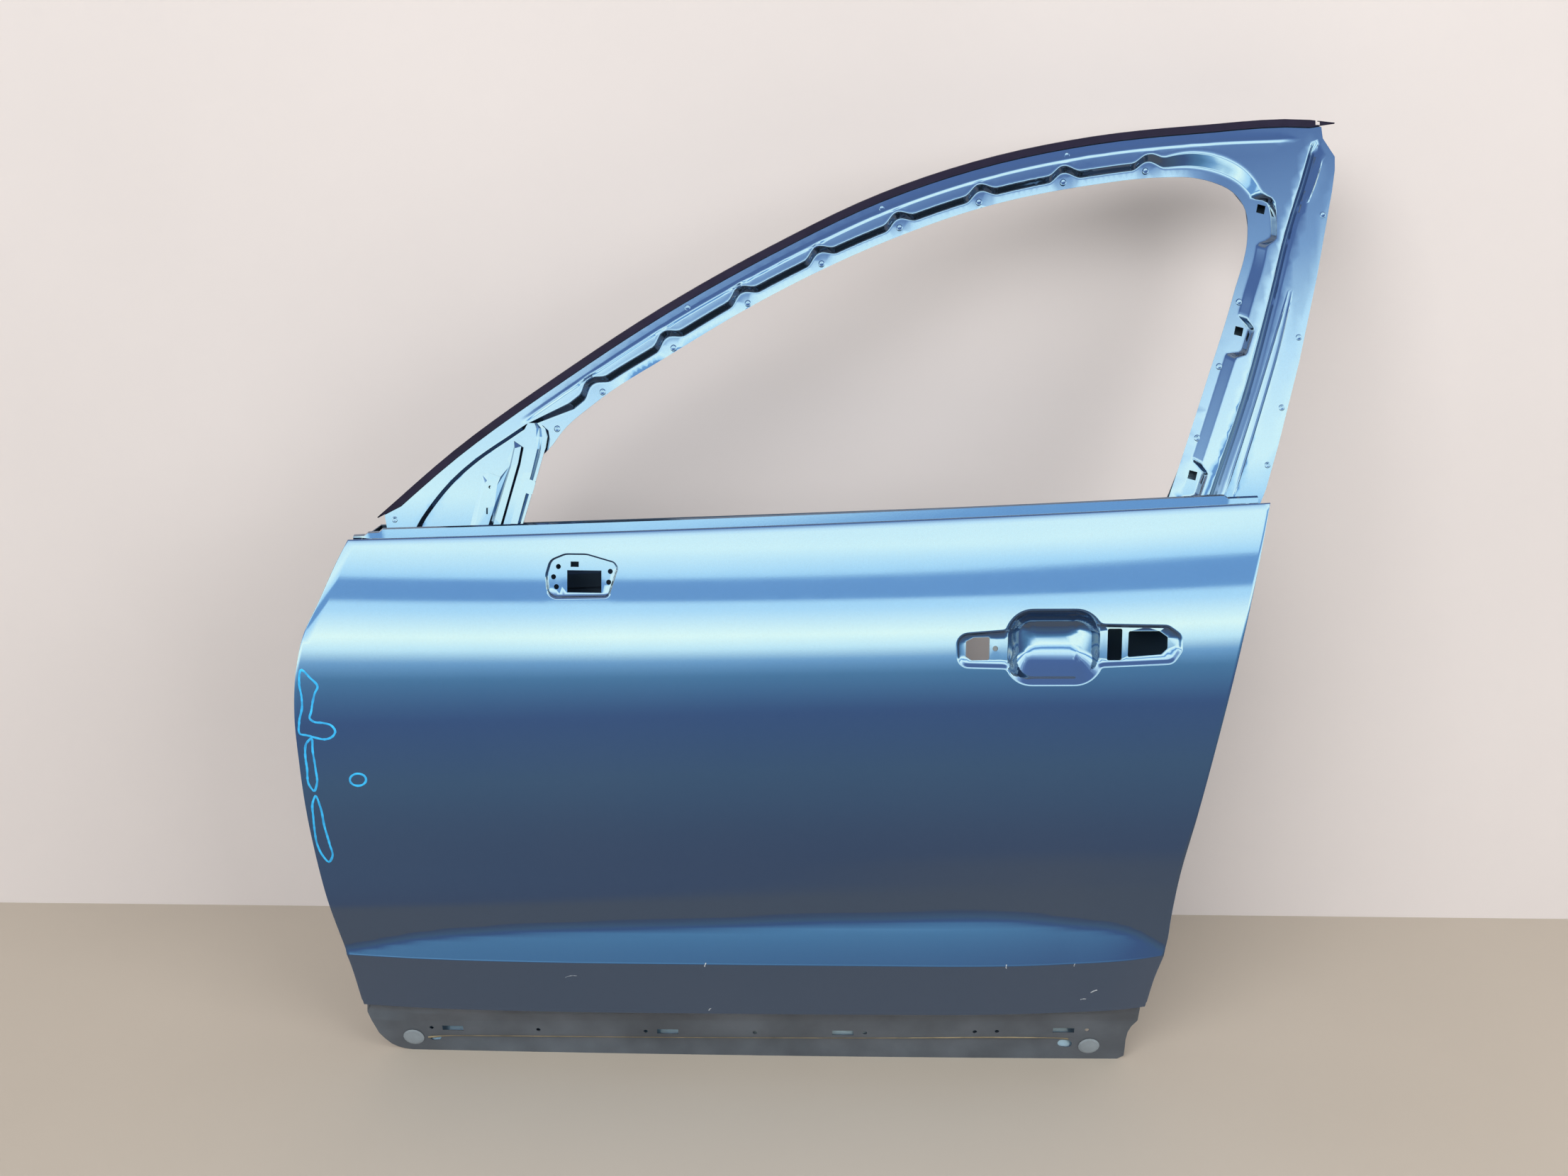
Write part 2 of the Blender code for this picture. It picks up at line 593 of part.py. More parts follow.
def pressed(outline, creases, holes, points, surface):
    """One pressed sheet as a bmesh: an outline, creases and holes of (x, y, z) points."""
    places = []
    edges = []
    chains = [(outline, True)] + [(hole, True) for hole in holes] + list(creases)
    for chain, closed in chains:
        first = len(places)
        places.extend(chain)
        count = len(chain)
        edges.extend((first + i, first + (i + 1) % count) for i in range(count if closed else count - 1))
    places.extend(points)
    flat_places = [Vector((x, z)) for x, _, z in places]
    verts, _, faces, sources, _, _ = delaunay_2d_cdt(flat_places, edges, [], 1, MERGE)
    openings = [flat(hole) for hole in holes]
    sheet = bmesh.new()
    made = []
    by_source = {}
    for vert, source in zip(verts, sources):
        y = places[source[0]][1] if source else surface(vert.x, vert.y)
        made.append(sheet.verts.new((vert.x, y, vert.y)))
        for index in source:
            by_source[index] = made[-1]
    for face in faces:
        corners = [verts[i] for i in face]
        centre = sum(corners, Vector((0, 0))) / len(corners)
        if not any(inside(centre, opening) for opening in openings):
            new_face = sheet.faces.new([made[i] for i in face])
            if area_sign(corners) < 0:
                new_face.normal_flip()
    bmesh.ops.delete(sheet, geom=[v for v in sheet.verts if not v.link_faces], context="VERTS")
    return sheet, by_source


def area_sign(corners):
    total = 0.0
    for a, b in zip(corners, corners[1:] + corners[:1]):
        total += a.x * b.y - b.x * a.y
    return total


def strip(rows):
    """A bmesh sheet through rows of points, each row as long as the next."""
    sheet = bmesh.new()
    made = [[sheet.verts.new(point) for point in row] for row in rows]
    for lower, upper in zip(made, made[1:]):
        for i in range(len(lower) - 1):
            sheet.faces.new((lower[i], lower[i + 1], upper[i + 1], upper[i]))
    return sheet


# Outer skin

def row_height(fraction, x):
    """Height of a row of the skin: -1 at its lower edge, 0 at the crease, 1 at the belt."""
    crease = crease_height(x)
    if fraction < 0:
        return crease + fraction * (crease - bottom_height(x))
    return crease + fraction * (belt_height(x) - crease)


def row_end(fraction, edge, start):
    x = start
    for _ in range(12):
        x = edge(row_height(fraction, x))
    return x, row_height(fraction, x)


def skin_row(fraction, columns):
    first, _ = row_end(fraction, front_edge, FRONT_EDGE[0][1])
    last, _ = row_end(fraction, rear_edge, REAR_EDGE[0][1])
    xs = [first] + even(first + EDGE_STRIP, last - EDGE_STRIP, columns - 2) + [last]
    return [(x, row_height(fraction, x)) for x in xs]


def spaced(loop, spacing):
    """A closed loop with its long stretches split."""
    made = []
    for a, b in zip(loop, loop[1:] + loop[:1]):
        count = max(1, math.ceil(math.dist(a, b) / spacing))
        made += [(a[0] + (b[0] - a[0]) * i / count, a[1] + (b[1] - a[1]) * i / count) for i in range(count)]
    return made


def outer_run(loop, other):
    """The points of a closed loop outside another one, from where it leaves the other."""
    free = [not inside(point, other) for point in loop]
    start = next(i for i in range(len(loop)) if free[i] and not free[i - 1])
    return [loop[(start + i) % len(loop)] for i in range(len(loop)) if free[(start + i) % len(loop)]]


def handle_lip():
    """Outline of the handle recess: the cup with a wing on each side."""
    lip = spaced(rounded(box_loop(CUP_WIDTH, CUP_HEIGHT), CUP_RADIUS, 5), LIP_SPACING)
    for wing in (LEFT_WING, RIGHT_WING):
        side = spaced(rounded(wing, WING_RADIUS), LIP_SPACING)
        lip = outer_run(lip, side) + outer_run(side, lip)
    return turned(lip, HANDLE_CENTRE, 0)


def handle_holes(margin=0.0):
    """Holes in the wings of the handle recess, grown by a margin."""
    loops = [rounded(loop, 0.0022, 1) for loop in (LEFT_HOLE, MIDDLE_HOLE, RIGHT_HOLE)]
    loops.append(circle(ROUND_HOLE, ROUND_HOLE_RADIUS, 8))
    if margin:
        loops = [offset(loop, -margin, True) for loop in loops]
    return [turned(loop, HANDLE_CENTRE, 0) for loop in loops]


def mirror_holes(margin=0.0):
    slot = turned(box_loop(MIRROR_SLOT[2], MIRROR_SLOT[3]), MIRROR_SLOT[:2], 0)
    square = turned(box_loop(MIRROR_SQUARE[2], MIRROR_SQUARE[3]), MIRROR_SQUARE[:2], 0)
    loops = [slot, square] + [circle(place, MIRROR_HOLE_RADIUS, 8) for place in MIRROR_HOLES]
    return [offset(loop, -margin, True) for loop in loops] if margin else loops


def cup_loop(inset):
    size = box_loop(CUP_WIDTH - 2 * inset, CUP_HEIGHT - 2 * inset)
    return turned(rounded(size, CUP_RADIUS - 0.5 * inset, 5), HANDLE_CENTRE, 0)


def skin_features():
    """Creases and holes of the two recesses."""
    lip = handle_lip()
    floor = offset(lip, RECESS_WALL, True)
    creases = [(lift(lip, skin_surface), True), (lift(floor, skin_surface, HANDLE_RECESS_DEPTH), True)]
    for inset, depth in BOWL_STEPS:
        creases.append((lift(cup_loop(inset), skin_surface, depth), True))
    mirror = rounded(MIRROR_OUTLINE, MIRROR_RADII)
    mirror_floor = offset(mirror, MIRROR_WALL, True)
    creases += [(lift(mirror, skin_surface), True), (lift(mirror_floor, skin_surface, MIRROR_DEPTH), True)]
    holes = [lift(loop, skin_surface, HANDLE_RECESS_DEPTH) for loop in handle_holes()]
    holes += [lift(loop, skin_surface, MIRROR_DEPTH) for loop in mirror_holes()]
    return creases, holes, [lip, mirror]


def skin_outline(columns, fractions):
    """The skin's outline, anticlockwise from its lower front corner."""
    bottom = skin_row(-1, columns)
    top = skin_row(1, columns)
    rear = [row_end(f, rear_edge, REAR_EDGE[0][1]) for f in fractions]
    front = [row_end(f, front_edge, FRONT_EDGE[0][1]) for f in fractions]
    return bottom + rear + top[::-1] + front[::-1]


def add_hem(sheet, by_source, outline, surface):
    """Fold the front, rear and top of the skin back over the inner panel's rim, relieved at corners."""
    side = len(skin_fractions())
    corners = [outline[i] for i in (0, COLUMNS, COLUMNS + 1 + side, 2 * COLUMNS + 1 + side)]
    leaf = offset(outline, HEM_LEAF, True)
    folded = {}
    for i in range(COLUMNS + 1, len(outline)):
        if min(math.dist(outline[i], corner) for corner in corners) > HEM_RELIEF:
            edge, end = lift([outline[i], leaf[i]], surface, HEM_DEPTH)
            folded[i] = (sheet.verts.new(edge), sheet.verts.new(end))
    for i in folded:
        j = i + 1
        if j in folded:
            sheet.faces.new((by_source[j], by_source[i], folded[i][0], folded[j][0]))
            sheet.faces.new((folded[j][0], folded[i][0], folded[i][1], folded[j][1]))


def skin_fractions():
    under = [-1 + (i + 1) / (ROWS_UNDER_CREASE + 1) for i in range(ROWS_UNDER_CREASE)]
    return under + [0.0] + ROW_FRACTIONS


def make_outer_skin():
    fractions = skin_fractions()
    outline = skin_outline(COLUMNS, fractions)
    creases, holes, lips = skin_features()
    crease = skin_row(0.0, COLUMNS)
    creases.append((lift(crease, skin_surface), False))
    rows = [skin_row(f, COLUMNS)[1:-1] for f in fractions if f != 0.0]
    chains = [(outline, True)] + [(lip, True) for lip in lips]
    points = [p for p in grid_points(rows, chains, 0.012) if not any(inside(p, lip) for lip in lips)]
    centre = lift([HANDLE_CENTRE], skin_surface, BOWL_BOTTOM)
    sheet, by_source = pressed(lift(outline, skin_surface), creases, holes,
                               lift(points, skin_surface) + centre, skin_surface)
    add_hem(sheet, by_source, outline, skin_surface)
    item = new_part("outer_skin", mesh_from(sheet, "outer_skin"), BLUE_PAINT)
    thicken(item, SHEET)


# Sill strip and its plugs

def skin_columns():
    return [x for x, _ in skin_row(-1, COLUMNS)]


def sill_outline():
    """Outline of the sill strip, anticlockwise from the lower end of its front edge."""
    first, last = SILL_FRONT[0][0], SILL_REAR[0][0]
    bottom = [(x, 0.0) for x in skin_columns() if first + 0.02 < x < last - 0.02]
    lap = [(x, bottom_height(x) + BOTTOM_LAP) for x in skin_columns()[1:-1]]
    ends = [(x, bottom_height(x) + BOTTOM_LAP) for x in (SILL_REAR[-1][0], SILL_FRONT[-1][0] + 0.004)]
    return [SILL_FRONT[0]] + bottom + SILL_REAR + [ends[0]] + lap[::-1] + [ends[1]] + SILL_FRONT[:0:-1]


def sill_row(level, first, last):
    """A row of the strip at one of the heights of its section."""
    xs = [x for x in skin_columns() if first + 0.01 < x < last - 0.01]
    return [(x, sill_knots(x)[0][level]) for x in [first] + xs + [last]]


def sill_holes():
    holes = [circle((x, sill_hole_height(x)), SILL_SMALL_RADIUS, 6) for x in SILL_SMALL_HOLES]
    holes += [turned(box_loop(*SILL_SLOT_SIZE), (x, sill_hole_height(x)), 0) for x in SILL_SLOTS]
    holes += [oval(place, *size, 3) for place, size in SILL_OVALS.items()]
    return holes + [circle(place, PLUG_HOLE_RADIUS, 12) for place in PLUG_PLACES.values()]


def make_sill_strip():
    first, last = SILL_FRONT[-1][0], SILL_REAR[-1][0]
    spans = {1: (STEP_TOP[0][0] - STEP_FADE, STEP_TOP[1][0] + STEP_FADE),
             2: (STEP_TOP[0][0] - STEP_FADE, STEP_TOP[1][0] + STEP_FADE),
             3: (first + 0.010, last - 0.014), 4: (first + 0.006, last - 0.008),
             5: (first + 0.006, last - 0.004), 6: (first + 0.006, last - 0.004)}
    creases = [(lift(sill_row(level, *span), sill_surface), False) for level, span in spans.items()]
    holes = [lift(hole, sill_surface) for hole in sill_holes()]
    sheet, _ = pressed(lift(sill_outline(), sill_surface), creases, holes, [], sill_surface)
    item = new_part("sill_extension_panel", mesh_from(sheet, "sill_extension_panel"), SILL_BLUE)
    thicken(item, SHEET)


def turned_part(name, profile, look, sides=16, ring=False):
    """A turned piece on its own Z axis: a profile of (radius, z), run round once."""
    mesh = bpy.data.meshes.new(name)
    edges = [(i, i + 1) for i in range(len(profile) - 1)]
    if ring:
        edges.append((len(profile) - 1, 0))
    mesh.from_pydata([(r, 0, z) for r, z in profile], edges, [])
    item = new_part(name, mesh, look)
    screw = item.modifiers.new("turn", "SCREW")
    screw.steps = sides
    screw.render_steps = sides
    screw.use_merge_vertices = True
    screw.merge_threshold = 0.00005
    return item


def aim(item, place, direction):
    """Place a part with its Z axis along a direction."""
    item.location = place
    item.rotation_euler = Vector(direction).to_track_quat("Z", "Y").to_euler()


def surface_normal(surface, x, z, step=0.004):
    """Direction out of the car at a point of a surface."""
    along_x = Vector((2 * step, surface(x + step, z) - surface(x - step, z), 0))
    along_z = Vector((0, surface(x, z + step) - surface(x, z - step), 2 * step))
    return along_x.cross(along_z).normalized()


def make_plugs():
    stem = PLUG_HOLE_RADIUS - 0.0008
    for name, (x, z) in PLUG_PLACES.items():
        normal = surface_normal(sill_surface, x, z)
        face = PLUG_THICKNESS + 0.0009
        profile = [(0, face), (PLUG_RADIUS * 0.8, face - 0.0003), (PLUG_RADIUS, face - PLUG_THICKNESS),
                   (stem, face - PLUG_THICKNESS), (stem, -0.0042), (0, -0.0042)]
        plug = turned_part(name, profile, PALE_PLUG)
        aim(plug, Vector((x, sill_surface(x, z), z)), normal)


# Inner panel

def side_heights(edge):
    """Heights of the skin's rows on an edge, over the start of its hem."""
    heights = [row_end(f, edge, edge(0.3))[1] for f in skin_fractions()]
    return [z for z in heights if z > RIM_HEM_START + 0.004]


def tray_line(run, bottom, spacing):
    """A line down the front, along the bottom and up the rear of the tray, a run in from the rim's edge."""
    low = bottom + TRAY_CORNER
    front_top = belt_height(-0.55) - INNER_TOP_DROP
    front_z = [front_top] + side_heights(front_edge)[::-1]
    front_z = [z for z in front_z if z > low + 0.006] + [z for z, _ in HINGE_WALL if z > low + 0.006] + [low]
    front = [(hinge_wall(z) + run, z) for z in sorted(set(front_z), reverse=True)]
    front = [p for i, p in enumerate(front) if i == 0 or front[i - 1][1] - p[1] > 0.004]
    rear_z = [low] + [z for z in side_heights(rear_edge) if z > low + 0.006]
    rear_z.append(belt_height(0.55) - INNER_TOP_DROP)
    rear = [(rear_edge(z) - HEM_FLANGE - run, z) for z in rear_z]
    turns = [i * math.pi / 2 / (CORNER_STEPS + 2) for i in range(1, CORNER_STEPS + 2)]
    first_x, last_x = front[-1][0] + TRAY_CORNER, rear[0][0] - TRAY_CORNER
    turn = [(first_x - TRAY_CORNER * math.cos(a), low - TRAY_CORNER * math.sin(a)) for a in turns]
    back = [(last_x + TRAY_CORNER * math.sin(a), low - TRAY_CORNER * math.cos(a)) for a in turns]
    floor = [(x, bottom) for x in even(first_x, last_x, round((last_x - first_x) / spacing))]
    return front + turn + floor + back + rear


def inner_outline():
    """Rim of the inner panel below and up the rear, then the front from the belt down."""
    first, last = SILL_FRONT[0][0], SILL_REAR[0][0]
    bottom = [(x, 0.0) for x in skin_columns() if first + 0.02 < x < last - 0.02]
    low = offset(SILL_FRONT[::-1] + bottom + SILL_REAR, INNER_EDGE_INSET, False)
    rear_z = [0.092, 0.110] + side_heights(rear_edge) + [belt_height(0.55) - INNER_TOP_DROP]
    front_z = [0.088, 0.108] + side_heights(front_edge) + [belt_height(-0.55) - INNER_TOP_DROP]
    rear = [(rear_edge(z) - INNER_EDGE_INSET, z) for z in rear_z]
    front = [(front_edge(z) + INNER_EDGE_INSET, z) for z in front_z]
    return low + rear, front[::-1]


def emboss(points):
    """A long pressed bead with round ends."""
    (x0, z0), (x1, z1) = points
    length = math.dist(points[0], points[1])
    angle = math.atan2(z1 - z0, x1 - x0)
    middle = ((x0 + x1) / 2, (z0 + z1) / 2)
    outer = turned(rounded(box_loop(length, 2 * EMBOSS_HALF), EMBOSS_HALF * 0.96), middle, angle)
    return outer, offset(outer, EMBOSS_WALL, True)


def module_opening():
    return rounded(MODULE_OPENING, MODULE_RADII, 4)


def make_inner_panel():
    spacing = 0.048
    first, second = inner_outline()
    low_line = tray_line(0.0, TRAY_BOTTOM, spacing)
    high_line = tray_line(WALL_RUN, TRAY_FLOOR, spacing)
    tops = 10
    x_front, x_rear = high_line[0][0], high_line[-1][0]
    belt = [(x_rear + (x_front - x_rear) * i / tops) for i in range(1, tops)]
    top = [(x, belt_height(x) - INNER_TOP_DROP) for x in belt]
    rim = lift(first, flange_surface) + lift(low_line[-1:], flange_surface)
    rim += lift(high_line[-1:] + top + high_line[:1], inner_surface)
    rim += lift(low_line[:1], flange_surface) + lift(second, flange_surface)
    creases = [(lift(low_line, flange_surface), False), (lift(high_line, inner_surface), False)]
    opening = module_opening()
    rim_line = offset(opening, -RIM_WIDTH / 2, True)
    rim_edge = offset(opening, -RIM_WIDTH, True)
    speaker = circle(SPEAKER_CENTRE, SPEAKER_RADIUS, 24)
    speaker_seat = circle(SPEAKER_CENTRE, SPEAKER_RADIUS + 0.009, 24)
    speaker_edge = circle(SPEAKER_CENTRE, SPEAKER_RADIUS + 0.013, 24)
    bead_edge, bead_floor = emboss(BELT_EMBOSS)
    creases += [(lift(rim_line, inner_surface, -RIM_STEP), True), (lift(rim_edge, inner_surface), True),
                (lift(speaker_seat, inner_surface, -2 * RIM_STEP), True),
                (lift(speaker_edge, inner_surface), True),
                (lift(bead_edge, inner_surface), True),
                (lift(bead_floor, inner_surface, -EMBOSS_DEPTH), True)]
    holes = [lift(opening, inner_surface, -RIM_STEP), lift(speaker, inner_surface, -2 * RIM_STEP)]
    holes += [lift(circle(place, TRIM_HOLE_RADIUS, 8), inner_surface) for place in TRIM_HOLES]
    floor = high_line + top[::-1]
    keep_off = [(floor, True), (rim_edge, True), (speaker_edge, True), (bead_edge, True)]
    rows = []
    for i in range(1, 11):
        height = TRAY_FLOOR + (BELT_MIDDLE - TRAY_FLOOR) * i / 11
        rows.append([(-0.60 + 1.15 * j / 16, height + 0.02 * (j / 16 - 0.5)) for j in range(17)])
    shapes = [rim_edge, speaker_edge, bead_edge]
    points = [p for p in grid_points(rows, keep_off, 0.020)
              if inside(p, floor) and not any(inside(p, shape) for shape in shapes)]
    sheet, _ = pressed(rim, creases, holes, lift(points, inner_surface), inner_surface)
    item = new_part("inner_panel", mesh_from(sheet, "inner_panel"), INNER_BLUE)
    thicken(item, SHEET)
    return item


# Walls of the inner panel: hinge seats, lock and holes

def wall_frame(wall, y, z):
    """Place and axes on a wall of the tray: X out of the door, Y into the car and Z up the wall."""
    step = 0.02
    along_y = Vector((wall(y + step, z) - wall(y - step, z), 2 * step, 0)).normalized()
    along_z = Vector((wall(y, z + step) - wall(y, z - step), 0, 2 * step)).normalized()
    out = along_y.cross(along_z).normalized()
    if wall is front_wall_x:
        out = -out
    up = out.cross(along_y).normalized()
    if up.z < 0:
        up = -up
    side = up.cross(out).normalized()
    turn = Matrix((out, side, up)).transposed().to_4x4()
    return Matrix.Translation(Vector((wall(y, z), y, z))) @ turn


def add_box(name, size, matrix, collection=CUTTERS):
    bpy.ops.mesh.primitive_cube_add(size=1.0)
    item = bpy.context.object
    item.name = name
    for vert in item.data.vertices:
        vert.co = Vector((vert.co.x * size[0], vert.co.y * size[1], vert.co.z * size[2]))
    item.matrix_world = matrix
    for old in list(item.users_collection):
        old.objects.unlink(item)
    collection.objects.link(item)
    return item


def add_cylinder(name, radius, length, matrix, sides=12):
    """A cylinder cutter along the X axis of a frame."""
    bpy.ops.mesh.primitive_cylinder_add(vertices=sides, radius=radius, depth=length)
    item = bpy.context.object
    item.name = name
    item.matrix_world = matrix @ Matrix.Rotation(math.pi / 2, 4, "Y")
    for old in list(item.users_collection):
        old.objects.unlink(item)
    CUTTERS.objects.link(item)
    return item


def combine(item, other, operation):
    other.hide_render = True
    other.display_type = "WIRE"
    other.parent = ROOT
    change = item.modifiers.new(other.name, "BOOLEAN")
    change.operation = operation
    change.object = other


def shift(matrix, x=0.0, y=0.0, z=0.0):
    return matrix @ Matrix.Translation((x, y, z))


def make_hinge_area(panel):
    """Seats, bolt holes, plates and weld nuts of the two hinges."""
    for name, height in HINGE_HEIGHTS.items():
        frame = wall_frame(front_wall_x, HINGE_Y, height)
        seat_low, seat_high = 0.35 * SHEET, SHEET + HINGE_SEAT_RISE
        seat = add_box("hinge_seat_" + name, (seat_high - seat_low, *HINGE_SEAT),
                       shift(frame, (seat_high + seat_low) / 2))
        combine(panel, seat, "UNION")
        plate_near = -0.0009
        plate = add_box("hinge_reinforcement_" + name, (HINGE_PLATE, HINGE_SEAT[0] - 0.006, HINGE_SEAT[1] + 0.012),
                        shift(frame, plate_near - HINGE_PLATE / 2))
        keep(plate, STEEL)
        for side, direction in (("top", 1), ("bottom", -1)):
            at = shift(frame, z=direction * HINGE_BOLT_SPACING / 2)
            label = name + "_" + side
            hole = add_cylinder("hinge_bolt_hole_" + label, HINGE_BOLT_RADIUS, 0.020, at)
            combine(panel, hole, "DIFFERENCE")
            combine(plate, hole, "DIFFERENCE")
            profile = [(NUT_RADIUS, NUT_THICKNESS), (NUT_RADIUS, 0.0), (HINGE_BOLT_RADIUS - 0.0010, 0.0),
                       (HINGE_BOLT_RADIUS - 0.0010, NUT_THICKNESS)]
            nut = turned_part("hinge_nut_" + label, profile, STEEL, 12, ring=True)
            place = shift(at, plate_near - HINGE_PLATE - GAP)
            aim(nut, place.translation, -(place.to_3x3() @ Vector((1, 0, 0))))


def make_check_strap_area(panel):
    frame = wall_frame(front_wall_x, CHECK_Y, CHECK_HEIGHT)
    slot = add_box("check_strap_slot", (0.020, *CHECK_SLOT), frame)
    combine(panel, slot, "DIFFERENCE")
    plate = add_box("check_strap_plate", (PLATE, *CHECK_PLATE), shift(frame, -0.0008 - PLATE / 2))
    keep(plate, STEEL)
    for side, direction in (("top", 1), ("bottom", -1)):
        at = shift(frame, y=direction * 0.0060, z=direction * (CHECK_SLOT[1] / 2 + 0.0080))
        hole = add_cylinder("check_strap_hole_" + side, 0.0034, 0.020, at, 10)
        combine(panel, hole, "DIFFERENCE")
        combine(plate, hole, "DIFFERENCE")
    combine(plate, slot, "DIFFERENCE")
    grommet = add_cylinder("wiring_hole", GROMMET_RADIUS, 0.020,
                           wall_frame(front_wall_x, GROMMET_Y, GROMMET_HEIGHT), 16)
    combine(panel, grommet, "DIFFERENCE")


def make_drain_holes(panel):
    """Holes in the rim of the inner panel, behind the plugs."""
    for name, (x, z) in PLUG_PLACES.items():
        normal = surface_normal(sill_surface, x, z)
        bpy.ops.mesh.primitive_cylinder_add(vertices=16, radius=DRAIN_RADIUS, depth=DRAIN_REACH)
        hole = bpy.context.object
        hole.name = name.replace("plug", "hole")
        aim(hole, Vector((x, sill_surface(x, z), z)) - normal * DRAIN_REACH * 0.4, normal)
        for collection in list(hole.users_collection):
            collection.objects.unlink(hole)
        CUTTERS.objects.link(hole)
        combine(panel, hole, "DIFFERENCE")


def make_latch_area(panel):
    frame = wall_frame(rear_wall_x, LATCH_Y, LATCH_HEIGHT)
    seat_low, seat_high = 0.35 * SHEET, SHEET + HINGE_SEAT_RISE
    seat = add_box("latch_seat", (seat_high - seat_low, *LATCH_PLATE), shift(frame, (seat_high + seat_low) / 2))
    combine(panel, seat, "UNION")
    slot = add_box("latch_slot", (0.024, *LATCH_SLOT), shift(frame, y=-0.004))
    combine(panel, slot, "DIFFERENCE")
    plate = add_box("latch_reinforcement", (PLATE, LATCH_PLATE[0] - 0.004, LATCH_PLATE[1] + 0.008),
                    shift(frame, -0.0009 - PLATE / 2))
    keep(plate, STEEL)
    combine(plate, slot, "DIFFERENCE")
    for i, (y, z) in enumerate(LATCH_SCREWS):
        hole = add_cylinder("latch_screw_hole_%d" % (i + 1), LATCH_SCREW_RADIUS, 0.024, shift(frame, y=y, z=z), 8)
        combine(panel, hole, "DIFFERENCE")
        combine(plate, hole, "DIFFERENCE")


# Window frame

def window_edge(spacing):
    """Edge of the window, from the front of the header round the rear corner to the belt."""
    return flowing(WINDOW_TOP + WINDOW_CORNER + WINDOW_REAR, spacing)


def bump(position, centre, reach):
    """A smooth bump of height 1 round a centre."""
    t = abs(position - centre) / reach
    return 0.0 if t >= 1 else 0.5 + 0.5 * math.cos(math.pi * t)


def plateau(position, centre, reach):
    t = abs(position - centre) / reach
    return 1.0 if t < 0.6 else max(0.0, (1.0 - t) / 0.4)


def channel_stations(edge):
    """Along the window edge: lengths, scallop centres, pad centres and the corner's length."""
    lengths = [0.0]
    for a, b in zip(edge, edge[1:]):
        lengths.append(lengths[-1] + math.dist(a, b))
    peak = max(range(len(edge)), key=lambda i: edge[i][0])
    header_x = [x for x, _ in edge[:peak]]
    start = np.interp(SCALLOP_FIRST_X, header_x, lengths[:peak])
    end = np.interp(SCALLOP_LAST_X, header_x, lengths[:peak])
    scallops = [start + (end - start) * i / (SCALLOP_COUNT - 1) for i in range(SCALLOP_COUNT)]
    falling = [(z, length) for (_, z), length in zip(edge[peak:], lengths[peak:])][::-1]
    pads = [np.interp(z, [f[0] for f in falling], [f[1] for f in falling]) for z in PAD_HEIGHTS]
    return lengths, scallops, pads, lengths[peak]


def channel_lines(edge_spacing=0.0015):
    """Lower and upper edge of the channel's wall, from the sail round to the foot of the pillar."""
    edge = window_edge(edge_spacing)
    lengths, scallops, pads, corner = channel_stations(edge)
    marks = []
    for centre in scallops:
        marks += [centre + SCALLOP_REACH * t for t in (-1.0, -0.6, -0.25, 0.25, 0.6, 1.0)]
    for centre in pads:
        marks += [centre + PAD_REACH * t for t in (-1.0, -0.6, 0.6, 1.0)]
    marks += [scallops[0] - 0.035]
    marks += [scallops[-1] + (pads[0] - scallops[-1]) * t for t in (0.28, 0.42, 0.54, 0.64, 0.74)]
    marks += [(pads[0] + pads[1]) / 2, pads[1] + (pads[2] - pads[1]) * 0.5]
    marks = sorted(mark for mark in marks if 0 < mark < lengths[-1])
    xs = [x for x, _ in edge]
    zs = [z for _, z in edge]
    low, high = [], []
    for mark in marks:
        here = Vector((np.interp(mark, lengths, xs), np.interp(mark, lengths, zs)))
        ahead = Vector((np.interp(mark + 0.004, lengths, xs), np.interp(mark + 0.004, lengths, zs)))
        behind = Vector((np.interp(mark - 0.004, lengths, xs), np.interp(mark - 0.004, lengths, zs)))
        run = (ahead - behind).normalized()
        out = Vector((-run.y, run.x))
        turn = min(1.0, max(0.0, (mark - scallops[-1]) / (pads[0] - scallops[-1])))
        scallop = SCALLOP_RISE * max(bump(mark, centre, SCALLOP_REACH) for centre in scallops)
        pad = max(plateau(mark, centre, PAD_REACH) for centre in pads)
        flange = HEADER_FLANGE + (PILLAR_FLANGE - HEADER_FLANGE) * turn
        last = PILLAR_WALL if mark > corner else HEADER_WALL
        wall = last + (CORNER_WALL - last) * math.sin(math.pi * turn)
        low.append(tuple(here + out * (flange + scallop + PAD_RISE * pad)))
        high.append(tuple(here + out * (flange + scallop + wall + PAD_WALL_RISE * pad)))
    sail_low = flowing(SAIL_CURVE, 0.030)
    sail_high = offset(sail_low, 0.0050, False)
    slope = (WINDOW_REAR[-1][0] - WINDOW_REAR[-2][0]) / (WINDOW_REAR[-1][1] - WINDOW_REAR[-2][1])
    low_foot = (low[-1][0] + slope * (PILLAR_FOOT_LOW - low[-1][1]), PILLAR_FOOT_LOW)
    high_foot = (low_foot[0] + PILLAR_WALL, PILLAR_FOOT_LOW)
    return sail_low + low + [low_foot], sail_high + high + [high_foot]


